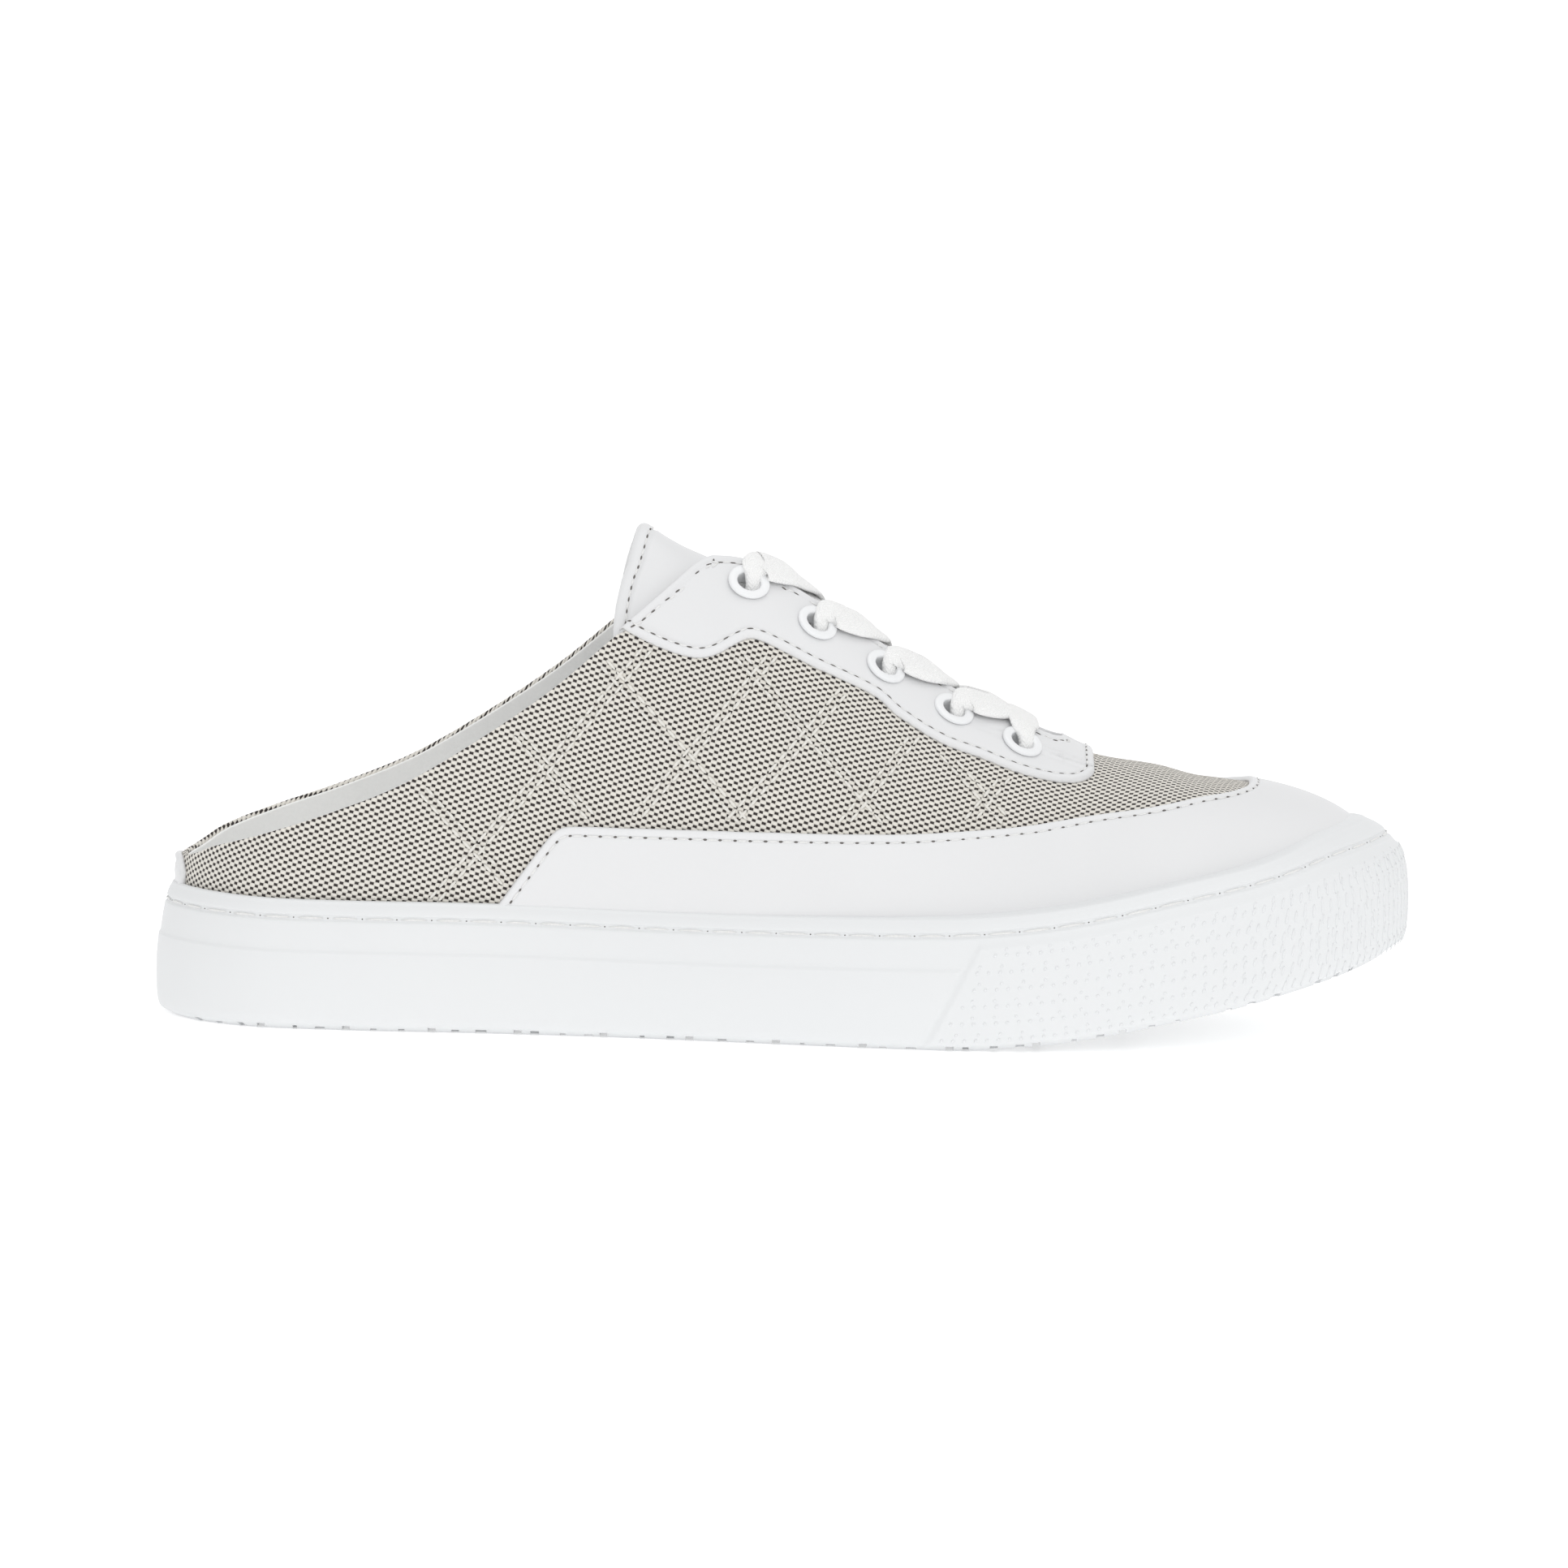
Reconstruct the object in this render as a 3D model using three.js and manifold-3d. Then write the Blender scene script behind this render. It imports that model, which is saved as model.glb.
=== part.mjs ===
// A low, backless lace-up sneaker (a mule): the right shoe, in millimetres.
// X runs from heel to toe, -Y is the outer side of the foot, +Z is up and the ground is z = 0.
// Every piece is lofted on one fan of ribs, which runs round the foot from a spine to the sole's outline.
import * as THREE from "three";
import { mergeVertices } from "three/addons/utils/BufferGeometryUtils.js";
import Module from "manifold-3d";

const wasm = await Module();
wasm.setup();

// Driving sizes of the last and the sole
const shoeLength = 295;
const ballWidth = 104;
const instepHeight = 112;
const heelSeat = 25;
const ballSeat = 15;
const toeSpring = 20;
const cupHeight = 29.6;
const cupWall = 4.4;
const insoleThickness = 5;

// Thicknesses and small sizes of the upper, its overlays and its laces
const upperWall = 1.8;
const overlayThickness = 1.2;
const tongueThickness = 4;
const tongueHalfWidth = 25;
const throatHalfWidth = 10;
const eyeletRowHalf = 16.8;
const heelTabWidth = 20;
const heelTabHeight = 7;
const eyeletCount = 5;
const eyeletRadius = 5;
const eyeletHoleRadius = 2.8;
const eyeletBarrelWall = 0.6;
const eyeletFlange = 1;
const laceWidth = 7.5;
const laceThickness = 1.6;
const laceReach = 0.3;
const fit = 0.3;

// Tread and side of the sole: ups are shares of the side wall, alongs shares of the length.
const treadDepth = 1.2;
const treadGrooveWidth = 1.8;
const treadPitch = 20;
const treadGrooves = 11;
const treadStart = 0.09;
const channelUp = 0.885;
const channelHalf = 0.022;
const channelDepth = 0.5;
const bandLow = 0.05;
const bandEase = 0.03;
const sunk = 0.2;
const bumperProud = 0.6;
const bumperTop = 0.78;
const bumperFoot = 0.612;
const bumperHead = 0.665;
const stepProud = 0.35;
const stepTop = 0.62;
const toeLeanStart = 0.86;
const toeLeanEnd = 0.99;
const insoleCup = 0.8;

// The collar's cut rises this much for each step towards the inner side.
const collarTilt = 0.05;

// How finely the ribs and their rows are laid
const bodyStations = 15;
const heelFan = 7;
const toeFan = 9;
const formRows = 6;
const outlineSteps = 520;
const throatSteps = 10;
const tongueSteps = 10;
const laceSteps = 6;
const eyeletSides = 10;
const drillSides = 9;
const mergeDistance = 1e-4;
const surfaceStep = 1.5;

// Plan of the sole's outline, anticlockwise from the heel: shares of the length and of the ball width.
const solePlan = [
  { along: 0, side: 0 },
  { along: 0.022, side: -0.17 },
  { along: 0.075, side: -0.295 },
  { along: 0.16, side: -0.34 },
  { along: 0.27, side: -0.353 },
  { along: 0.38, side: -0.387 },
  { along: 0.49, side: -0.447 },
  { along: 0.585, side: -0.497 },
  { along: 0.665, side: -0.515 },
  { along: 0.76, side: -0.487 },
  { along: 0.855, side: -0.402 },
  { along: 0.935, side: -0.27 },
  { along: 0.985, side: -0.1 },
  { along: 1, side: 0.055 },
  { along: 0.98, side: 0.21 },
  { along: 0.925, side: 0.345 },
  { along: 0.84, side: 0.44 },
  { along: 0.745, side: 0.482 },
  { along: 0.675, side: 0.484 },
  { along: 0.575, side: 0.43 },
  { along: 0.475, side: 0.366 },
  { along: 0.375, side: 0.333 },
  { along: 0.27, side: 0.326 },
  { along: 0.155, side: 0.332 },
  { along: 0.072, side: 0.29 },
  { along: 0.02, side: 0.165 },
];

// The last: its ridge as a share of the instep height, and how full its section is from ridge to sole.
const lastSections = [
  { along: 0.0, ridge: 0.6, fullness: 2.8 },
  { along: 0.12, ridge: 0.62, fullness: 2.5 },
  { along: 0.2, ridge: 0.76, fullness: 2.4 },
  { along: 0.29, ridge: 0.93, fullness: 2.3 },
  { along: 0.366, ridge: 1.035, fullness: 2.1 },
  { along: 0.434, ridge: 1.008, fullness: 2.0 },
  { along: 0.468, ridge: 0.992, fullness: 2.0 },
  { along: 0.51, ridge: 0.928, fullness: 1.9 },
  { along: 0.565, ridge: 0.834, fullness: 1.8 },
  { along: 0.627, ridge: 0.73, fullness: 1.7 },
  { along: 0.688, ridge: 0.652, fullness: 1.65 },
  { along: 0.72, ridge: 0.607, fullness: 1.65 },
  { along: 0.747, ridge: 0.576, fullness: 1.75 },
  { along: 0.8, ridge: 0.553, fullness: 2.1 },
  { along: 0.835, ridge: 0.53, fullness: 2.4 },
  { along: 1.0, ridge: 0.5, fullness: 2.6 },
];

// The sole along its length: spring as a share of the toe spring, heel as the share of the heel's
// rise in the seat, and lip as the height of the side wall over the spring, as a share of the cup height.
const soleSections = [
  { along: 0.0, spring: 0, heel: 1, lip: 1.03 },
  { along: 0.1, spring: 0, heel: 1, lip: 1.0 },
  { along: 0.27, spring: 0, heel: 0.86, lip: 1.0 },
  { along: 0.42, spring: 0, heel: 0.5, lip: 0.98 },
  { along: 0.58, spring: 0, heel: 0.1, lip: 1.0 },
  { along: 0.637, spring: 0, heel: 0, lip: 1.02 },
  { along: 0.7, spring: 0.065, heel: 0, lip: 1.035 },
  { along: 0.75, spring: 0.165, heel: 0, lip: 1.05 },
  { along: 0.817, spring: 0.35, heel: 0, lip: 1.07 },
  { along: 0.868, spring: 0.5, heel: 0, lip: 1.07 },
  { along: 0.908, spring: 0.645, heel: 0, lip: 1.07 },
  { along: 0.946, spring: 0.785, heel: 0, lip: 1.08 },
  { along: 0.978, spring: 0.925, heel: 0, lip: 1.04 },
  { along: 1.0, spring: 1.04, heel: 0, lip: 1.0 },
];

// The side wall of the cup: up is a share of the wall's height, inset a share of the cup wall,
// and toe the same at the tip of the toe, where the wall leans back.
const cupProfile = [
  { up: 0.0, inset: 0.7, toe: 0.9 },
  { up: 0.04, inset: 0.25, toe: 0.3 },
  { up: 0.13, inset: 0.05, toe: 0.05 },
  { up: 0.42, inset: 0.0, toe: 0.0 },
  { up: 0.66, inset: 0.14, toe: 0.18 },
  { up: 0.8, inset: 0.28, toe: 0.55 },
  { up: 0.94, inset: 0.5, toe: 1.4 },
  { up: 1.0, inset: 0.72, toe: 2.25 },
];

// The collar's edge from the heel to the top of the throat: shares of the length and the instep height.
const collarEdge = [
  { along: 0.0, up: 0.33 },
  { along: 0.025, up: 0.344 },
  { along: 0.046, up: 0.374 },
  { along: 0.083, up: 0.408 },
  { along: 0.14, up: 0.46 },
  { along: 0.197, up: 0.523 },
  { along: 0.254, up: 0.613 },
  { along: 0.316, up: 0.728 },
  { along: 0.367, up: 0.843 },
];
const throatTop = { along: 0.436, up: 0.992 };

// The upper edge of the toe guard, from the sole's lip up and forward to the ridge of the vamp.
const toeGuardEdge = [
  { along: 0.23, up: 0.1 },
  { along: 0.276, up: 0.267 },
  { along: 0.3095, up: 0.388 },
  { along: 0.318, up: 0.415 },
  { along: 0.325, up: 0.428 },
  { along: 0.335, up: 0.432 },
  { along: 0.36, up: 0.432 },
  { along: 0.48, up: 0.432 },
  { along: 0.587, up: 0.432 },
  { along: 0.637, up: 0.437 },
  { along: 0.692, up: 0.447 },
  { along: 0.746, up: 0.465 },
  { along: 0.786, up: 0.479 },
  { along: 0.827, up: 0.497 },
  { along: 0.858, up: 0.507 },
  { along: 0.873, up: 0.52 },
  { along: 0.886, up: 0.56 },
];

// The lower edge of the eyestay, from the collar's corner forward to its round front.
const eyestayEdge = [
  { along: 0.367, up: 0.843 },
  { along: 0.388, up: 0.815 },
  { along: 0.413, up: 0.79 },
  { along: 0.431, up: 0.782 },
  { along: 0.445, up: 0.79 },
  { along: 0.46, up: 0.812 },
  { along: 0.472, up: 0.823 },
  { along: 0.492, up: 0.804 },
  { along: 0.517, up: 0.771 },
  { along: 0.57, up: 0.706 },
  { along: 0.588, up: 0.667 },
  { along: 0.623, up: 0.612 },
  { along: 0.655, up: 0.581 },
  { along: 0.684, up: 0.552 },
  { along: 0.714, up: 0.532 },
  { along: 0.733, up: 0.528 },
  { along: 0.743, up: 0.537 },
  { along: 0.746, up: 0.56 },
  { along: 0.742, up: 0.62 },
];

// The throat: half its width as a share of the width at its top.
const throatPlan = [
  { along: 0.33, half: 1.15 },
  { along: 0.436, half: 1.0 },
  { along: 0.55, half: 0.86 },
  { along: 0.65, half: 0.73 },
  { along: 0.7, half: 0.66 },
];
const throatFront = 0.722;

// The tongue's own ridge between the throat's edges, and how far it rises over the last at its top.
const tongueSections = [
  { along: 0.35, ridge: 1.1, rise: 0.05 },
  { along: 0.385, ridge: 1.062, rise: 0.04 },
  { along: 0.408, ridge: 1.02, rise: 0.01 },
  { along: 0.434, ridge: 0.984, rise: 0 },
  { along: 0.468, ridge: 0.935, rise: 0 },
  { along: 0.51, ridge: 0.872, rise: 0 },
  { along: 0.565, ridge: 0.785, rise: 0 },
  { along: 0.627, ridge: 0.69, rise: 0 },
  { along: 0.688, ridge: 0.605, rise: 0 },
  { along: 0.76, ridge: 0.54, rise: 0 },
];
const tongueBack = [
  { side: 0, along: 0.384 },
  { side: 0.35, along: 0.376 },
  { side: 0.6, along: 0.367 },
  { side: 0.85, along: 0.362 },
  { side: 1, along: 0.366 },
];
const tongueFront = 0.75;

// Reads a column of a table at a place, on a smooth curve through its rows.
function readTable(table, column, place, key = "along") {
  const last = table.length - 1;
  if (place <= table[0][key]) return table[0][column];
  if (place >= table[last][key]) return table[last][column];
  const i = table.findIndex((row) => row[key] > place) - 1;
  const slope = (j) => {
    const a = table[Math.max(j - 1, 0)];
    const b = table[Math.min(j + 1, last)];
    return (b[column] - a[column]) / (b[key] - a[key]);
  };
  const span = table[i + 1][key] - table[i][key];
  const t = (place - table[i][key]) / span;
  const rise = table[i + 1][column] - table[i][column];
  const startPull = slope(i) * span - rise;
  const endPull = rise - slope(i + 1) * span;
  return table[i][column] + rise * t + t * (1 - t) * (startPull * (1 - t) + endPull * t);
}

const smoothStep = (from, to, value) => THREE.MathUtils.smoothstep(value, from, to);

// Heights along the sole
const treadHeight = (x) => Math.max(toeSpring * readTable(soleSections, "spring", x / shoeLength), 0);
const seatHeight = (x) =>
  ballSeat +
  (heelSeat - ballSeat) * readTable(soleSections, "heel", x / shoeLength) +
  treadHeight(x);
const cupFloor = (x) => seatHeight(x) - insoleThickness - fit;
const lipHeight = (x) => treadHeight(x) + cupHeight * readTable(soleSections, "lip", x / shoeLength);
const ridgeHeight = (x) => instepHeight * readTable(lastSections, "ridge", x / shoeLength);

// The spine runs from the centre of the heel's round to the centre of the toe's.
const heelPole = 0.12 * shoeLength;
const toePole = 0.835 * shoeLength;
const toePoleSide = 0.03 * ballWidth;
const spineSide = (x) => (toePoleSide * (x - heelPole)) / (toePole - heelPole);

const soleOutline = new THREE.CatmullRomCurve3(
  solePlan.map((row) => new THREE.Vector3(row.along * shoeLength, row.side * ballWidth, 0)),
  true,
  "centripetal",
).getPoints(outlineSteps);

// One rib: where it starts on the spine, which way it runs, and how far off the outline is.
function makeRib(x, angle) {
  const origin = new THREE.Vector2(x, spineSide(x));
  const way = new THREE.Vector2(Math.cos(angle), Math.sin(angle));
  let reach = 0;
  let facing = 1;
  for (let i = 0; i + 1 < soleOutline.length; i++) {
    const ax = soleOutline[i].x - origin.x;
    const ay = soleOutline[i].y - origin.y;
    const ex = soleOutline[i + 1].x - soleOutline[i].x;
    const ey = soleOutline[i + 1].y - soleOutline[i].y;
    const cross = way.x * ey - way.y * ex;
    if (Math.abs(cross) < 1e-9) continue;
    const along = (ax * ey - ay * ex) / cross;
    const share = (ax * way.y - ay * way.x) / cross;
    if (along > reach && share >= 0 && share < 1) {
      reach = along;
      facing = Math.abs(cross) / Math.hypot(ex, ey);
    }
  }
  return { origin, way, reach, facing, rimX: origin.x + way.x * reach };
}

// The ribs in order: round the heel, along the outer side, round the toe and back along the inner side.
function makeRibs() {
  const ribs = [];
  const quarter = Math.PI / 2;
  const station = (i) => heelPole + ((toePole - heelPole) * i) / (bodyStations - 1);
  for (let i = 0; i < heelFan; i++)
    if (i >= (heelFan - 1) / 2)
      ribs.push(makeRib(heelPole, 2 * quarter + (quarter * (i - (heelFan - 1) / 2) * 2) / (heelFan + 1)));
  for (let i = 0; i < bodyStations; i++) ribs.push(makeRib(station(i), 3 * quarter));
  for (let i = 1; i <= toeFan; i++)
    ribs.push(makeRib(toePole, 3 * quarter + (2 * quarter * i) / (toeFan + 1)));
  for (let i = bodyStations - 1; i >= 0; i--) ribs.push(makeRib(station(i), quarter));
  for (let i = 1; i <= (heelFan - 1) / 2; i++)
    ribs.push(makeRib(heelPole, quarter + (quarter * i * 2) / (heelFan + 1)));
  return ribs;
}
const ribs = makeRibs();

// A closed solid from a soup of triangles, with doubled corners merged and empty faces dropped.
function solidFrom(positions) {
  const soup = new THREE.BufferGeometry();
  soup.setAttribute("position", new THREE.Float32BufferAttribute(positions, 3));
  return solidOf(soup);
}

function solidOf(geometry) {
  const bare = geometry.index ? geometry.toNonIndexed() : geometry.clone();
  for (const name of Object.keys(bare.attributes)) if (name !== "position") bare.deleteAttribute(name);
  const merged = mergeVertices(bare, mergeDistance);
  const corners = merged.index.array;
  const faces = [];
  for (let i = 0; i < corners.length; i += 3) {
    const [a, b, c] = [corners[i], corners[i + 1], corners[i + 2]];
    if (a !== b && b !== c && c !== a) faces.push(a, b, c);
  }
  const mesh = new wasm.Mesh({
    numProp: 3,
    vertProperties: merged.attributes.position.array,
    triVerts: new Uint32Array(faces),
  });
  return new wasm.Manifold(mesh);
}

// Adds the two triangles of a four-cornered face.
function pushQuad(positions, a, b, c, d) {
  for (const p of [a, b, c, a, c, d]) positions.push(p.x, p.y, p.z);
}

// Lofts a closed body over all the ribs. profile(rib) gives its rows as distance and height, from the
// bottom of the spine outward, up and back to the top of the spine.
function loftRibs(profile) {
  const rows = ribs.map((rib) =>
    profile(rib).map(
      ({ reach, z }) =>
        new THREE.Vector3(rib.origin.x + rib.way.x * reach, rib.origin.y + rib.way.y * reach, z),
    ),
  );
  const positions = [];
  rows.forEach((here, k) => {
    const next = rows[(k + 1) % rows.length];
    for (let r = 0; r + 1 < here.length; r++)
      pushQuad(positions, here[r], next[r], next[r + 1], here[r + 1]);
  });
  return solidFrom(positions);
}

// How far the last's surface, moved outward by an offset, lies from the spine at the foot of a rib.
const lastReach = (rib, offset) => rib.reach - (cupWall + fit - offset) / rib.facing;

// The last's surface along a rib, from its foot to the ridge.
function lastProfile(rib, offset, steps = formRows) {
  const reach = lastReach(rib, offset);
  const foot = cupFloor(rib.origin.x + rib.way.x * reach);
  const fullness = readTable(lastSections, "fullness", rib.rimX / shoeLength);
  const rows = [];
  for (let i = 0; i <= steps; i++) {
    const turn = (i / steps) * (Math.PI / 2);
    const here = reach * Math.max(Math.cos(turn), 0) ** (2 / fullness);
    const top = ridgeHeight(rib.origin.x + rib.way.x * here) + offset;
    rows.push({ reach: here, z: foot + (top - foot) * Math.sin(turn) ** (2 / fullness) });
  }
  rows[steps].reach = 0;
  return rows;
}

// The height of the last's surface at a place beside the spine.
function lastHeight(x, side, offset) {
  const rib = makeRib(x, side < 0 ? (3 * Math.PI) / 2 : Math.PI / 2);
  const fullness = readTable(lastSections, "fullness", x / shoeLength);
  const share = Math.min(Math.abs(side) / lastReach(rib, offset), 1);
  const foot = cupFloor(x);
  return foot + (ridgeHeight(x) + offset - foot) * (1 - share ** fullness) ** (1 / fullness);
}

// A solid last, moved outward by an offset and standing at a drop below the cup's floor.
function lastForm(offset, drop) {
  return loftRibs((rib) => {
    const reach = lastReach(rib, offset);
    const at = (share) => ({
      reach: reach * share,
      z: cupFloor(rib.origin.x + rib.way.x * reach * share) - drop,
    });
    return [at(0), at(0.5), at(1), ...lastProfile(rib, offset).slice(drop > 0 ? 0 : 1)];
  });
}

// A prism seen from the side: an outline of length and height, as wide as the shoe and more.
function sidePrism(outline) {
  const shape = new THREE.Shape(outline.map((p) => new THREE.Vector2(p.x, p.y)));
  const prism = new THREE.ExtrudeGeometry(shape, { depth: 2 * ballWidth, bevelEnabled: false });
  return solidOf(prism.rotateX(Math.PI / 2).translate(0, ballWidth, 0));
}

// A prism seen from above: an outline of length and side, from the ground to well over the instep.
function planPrism(outline, low, high) {
  const shape = new THREE.Shape(outline.map((p) => new THREE.Vector2(p.x, p.y)));
  const prism = new THREE.ExtrudeGeometry(shape, { depth: high - low, bevelEnabled: false });
  return solidOf(prism.translate(0, 0, low));
}

const edgePoints = (table, perRow) =>
  new THREE.SplineCurve(
    table.map((row) => new THREE.Vector2(row.along * shoeLength, row.up * instepHeight)),
  ).getPoints((table.length - 1) * perRow);

// The inner side of the collar stands a little higher than the outer: its cut leans with the side.
function tilted(solid) {
  return solid.transform([1, 0, 0, 0, 0, 1, collarTilt, 0, 0, 0, 1, 0, 0, 0, 0, 1]);
}

const wellAbove = 2 * instepHeight;
const wellBehind = -0.2 * shoeLength;
const wellAhead = 1.5 * shoeLength;
const throatTopPoint = new THREE.Vector2(throatTop.along * shoeLength, throatTop.up * instepHeight);

// All that is cut away above the collar and behind the eyestay.
function collarCut() {
  const outline = [
    new THREE.Vector2(wellBehind, collarEdge[0].up * instepHeight),
    ...edgePoints(collarEdge, 1),
    throatTopPoint,
    new THREE.Vector2(throatTopPoint.x, wellAbove),
    new THREE.Vector2(wellBehind, wellAbove),
  ];
  return tilted(sidePrism(outline));
}

const throatHalf = (x) => throatHalfWidth * readTable(throatPlan, "half", x / shoeLength);

// The slot of the throat, with a round front. It starts under the upper's lowest point there.
const throatLow = 0.33 * instepHeight;
function throatCut() {
  const start = throatPlan[0].along * shoeLength;
  const front = throatFront * shoeLength;
  const outer = [];
  const inner = [];
  for (let i = 0; i <= throatSteps; i++) {
    const x = start + ((front - start) * i) / throatSteps;
    const roundStart = front - throatHalf(front);
    const round = Math.sqrt(Math.max(1 - (Math.max(x - roundStart, 0) / (front - roundStart)) ** 2, 0));
    outer.push(new THREE.Vector2(x, spineSide(x) - throatHalf(x) * round));
    if (round > 0) inner.unshift(new THREE.Vector2(x, spineSide(x) + throatHalf(x) * round));
  }
  return planPrism([...outer, ...inner], throatLow, wellAbove);
}

// Where an eyelet sits: on the eyestay, set back from the edge of the throat, square to the surface.
const eyeletFirst = 0.469;
const eyeletLast = 0.688;
function eyeletPlace(index, hand) {
  const x = shoeLength * (eyeletFirst + ((eyeletLast - eyeletFirst) * index) / (eyeletCount - 1));
  const surface = (px, side) =>
    new THREE.Vector3(px, spineSide(px) + side, lastHeight(px, side, fit + overlayThickness));
  const side = hand * eyeletRowHalf;
  const step = surfaceStep;
  const forward = surface(x + step, side).sub(surface(x - step, side));
  const inward = surface(x, side - hand * step).sub(surface(x, side + hand * step));
  const normal = hand < 0 ? forward.cross(inward) : inward.cross(forward);
  return { point: surface(x, side), normal: normal.normalize(), x, side };
}

const upright = new THREE.Vector3(0, 1, 0);

function eyeletHoles() {
  const holes = [];
  for (const hand of [-1, 1])
    for (let i = 0; i < eyeletCount; i++) {
      const { point, normal } = eyeletPlace(i, hand);
      const radius = eyeletHoleRadius + eyeletBarrelWall + fit;
      const drill = new THREE.CylinderGeometry(radius, radius, 4 * eyeletRadius, drillSides);
      drill.applyQuaternion(new THREE.Quaternion().setFromUnitVectors(upright, normal));
      holes.push(solidOf(drill.translate(point.x, point.y, point.z)));
    }
  return holes;
}

const joinAll = (solids) => solids.reduce((all, one) => all.add(one));

// How far a rib leans back with the tip of the toe, from 0 to 1.
const toeLean = (rib) => smoothStep(toeLeanStart * shoeLength, toeLeanEnd * shoeLength, rib.rimX);

// The outside of the rubber cup, filled to its lip, grown by a gap where others are cut back from it.
// Its tread has rows at a few shares of the way out, and so has its top.
const treadRows = [0, 0.4, 0.75];
const topRow = 0.8;
function cupBody(gap) {
  return loftRibs((rib) => {
    const foot = treadHeight(rib.rimX);
    const wall = lipHeight(rib.rimX) - foot;
    const row = ({ up }) => ({
      reach: rib.reach - (cupInset(up, toeLean(rib)) - gap) / rib.facing,
      z: foot + wall * up + gap * up,
    });
    const flat = (share) => {
      const reach = row(cupProfile[0]).reach * share;
      return { reach, z: treadHeight(rib.origin.x + rib.way.x * reach) };
    };
    const lip = row(cupProfile[cupProfile.length - 1]);
    return [
      ...treadRows.map(flat),
      ...cupProfile.map((line, i) => (i === 0 ? flat(1) : row(line))),
      { reach: lip.reach * topRow, z: lip.z },
      { reach: 0, z: lipHeight(rib.origin.x) + gap },
    ];
  });
}

// How far the cup's side wall lies inside the outline, at a share of its height, on the straight
// faces between the profile's rows.
function cupInset(up, lean) {
  const i = Math.max(cupProfile.findIndex((row) => row.up >= up), 1);
  const [low, high] = [cupProfile[i - 1], cupProfile[i]];
  const t = (up - low.up) / (high.up - low.up);
  const inset = THREE.MathUtils.lerp(low.inset, high.inset, t);
  return cupWall * THREE.MathUtils.lerp(inset, THREE.MathUtils.lerp(low.toe, high.toe, t), lean);
}

// A closed ring round the side wall of the cup. Its rows give up, a share of the wall, and out, a
// distance off it, and go up the outside and down the inside.
function cupRing(section) {
  const rows = ribs.map((rib) => {
    const foot = treadHeight(rib.rimX);
    const wall = lipHeight(rib.rimX) - foot;
    return section.map(({ up, out }) => {
      const reach = rib.reach - (cupInset(up, toeLean(rib)) - out) / rib.facing;
      return new THREE.Vector3(
        rib.origin.x + rib.way.x * reach,
        rib.origin.y + rib.way.y * reach,
        foot + wall * up,
      );
    });
  });
  const positions = [];
  rows.forEach((here, k) => {
    const next = rows[(k + 1) % rows.length];
    here.forEach((corner, r) => {
      const after = (r + 1) % here.length;
      pushQuad(positions, corner, next[r], next[after], here[after]);
    });
  });
  return solidFrom(positions);
}

const group = new THREE.Group();
const finishes = {
  rubber: new THREE.MeshStandardMaterial({ color: 0xf3f4f5, roughness: 0.55, metalness: 0 }),
  leather: new THREE.MeshStandardMaterial({ color: 0xf0f0f1, roughness: 0.5, metalness: 0 }),
  canvas: new THREE.MeshStandardMaterial({ color: 0xb9b3a7, roughness: 0.9, metalness: 0 }),
  lining: new THREE.MeshStandardMaterial({ color: 0xe6e7e6, roughness: 0.9, metalness: 0 }),
  lace: new THREE.MeshStandardMaterial({ color: 0xf1f2f1, roughness: 0.95, metalness: 0 }),
  eyelet: new THREE.MeshStandardMaterial({ color: 0xf5f6f7, roughness: 0.4, metalness: 0 }),
};

function addPiece(name, solid, finish) {
  const mesh = solid.getMesh();
  const geometry = new THREE.BufferGeometry();
  geometry.setAttribute("position", new THREE.BufferAttribute(mesh.vertProperties, mesh.numProp));
  geometry.setIndex(new THREE.BufferAttribute(mesh.triVerts, 1));
  const piece = new THREE.Mesh(geometry, finishes[finish]);
  piece.name = name;
  group.add(piece);
  return piece;
}

const holes = joinAll(eyeletHoles());
const collar = collarCut();
const throat = throatCut();

// The rubber cup: a filled body hollowed by the last, with a stitch channel round its side, a step
// along the quarters, a raised bumper round the toe and grooves across its tread.
function cupSole() {
  const channel = cupRing([
    { up: channelUp - channelHalf, out: -channelDepth },
    { up: channelUp - channelHalf, out: channelDepth },
    { up: channelUp + channelHalf, out: channelDepth },
    { up: channelUp + channelHalf, out: -channelDepth },
  ]);
  const band = (high, out) => {
    const between = cupProfile.filter(({ up }) => up > bandLow + bandEase && up < high - bandEase);
    return cupRing([
      { up: bandLow, out: -sunk },
      { up: bandLow + bandEase, out },
      ...between.map(({ up }) => ({ up, out })),
      { up: high - bandEase, out },
      { up: high, out: -sunk },
      { up: (bandLow + high) / 2, out: -cupWall / 2 },
    ]);
  };
  const toeEnd = sidePrism([
    new THREE.Vector2(bumperFoot * shoeLength, 0),
    new THREE.Vector2(bumperHead * shoeLength, cupHeight),
    new THREE.Vector2(wellAhead, cupHeight),
    new THREE.Vector2(wellAhead, 0),
  ]);
  const bumper = band(bumperTop, bumperProud).intersect(toeEnd);
  const step = band(stepTop, stepProud).subtract(toeEnd.translate(-2 * fit, 0, 0));
  let sole = cupBody(0).subtract(lastForm(fit, 0)).subtract(channel).add(bumper).add(step);
  for (let i = 0; i < treadGrooves; i++) sole = sole.subtract(treadGroove(i));
  return sole;
}

// One groove across the tread, square to the sole's spring.
function treadGroove(index) {
  const x = treadStart * shoeLength + treadPitch * index;
  const pitch = Math.atan2(treadHeight(x + surfaceStep) - treadHeight(x - surfaceStep), 2 * surfaceStep);
  const groove = new THREE.BoxGeometry(treadGrooveWidth, 2 * ballWidth, 2 * treadDepth);
  groove.rotateY(-pitch).translate(x, 0, treadHeight(x));
  return solidOf(groove);
}

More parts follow.
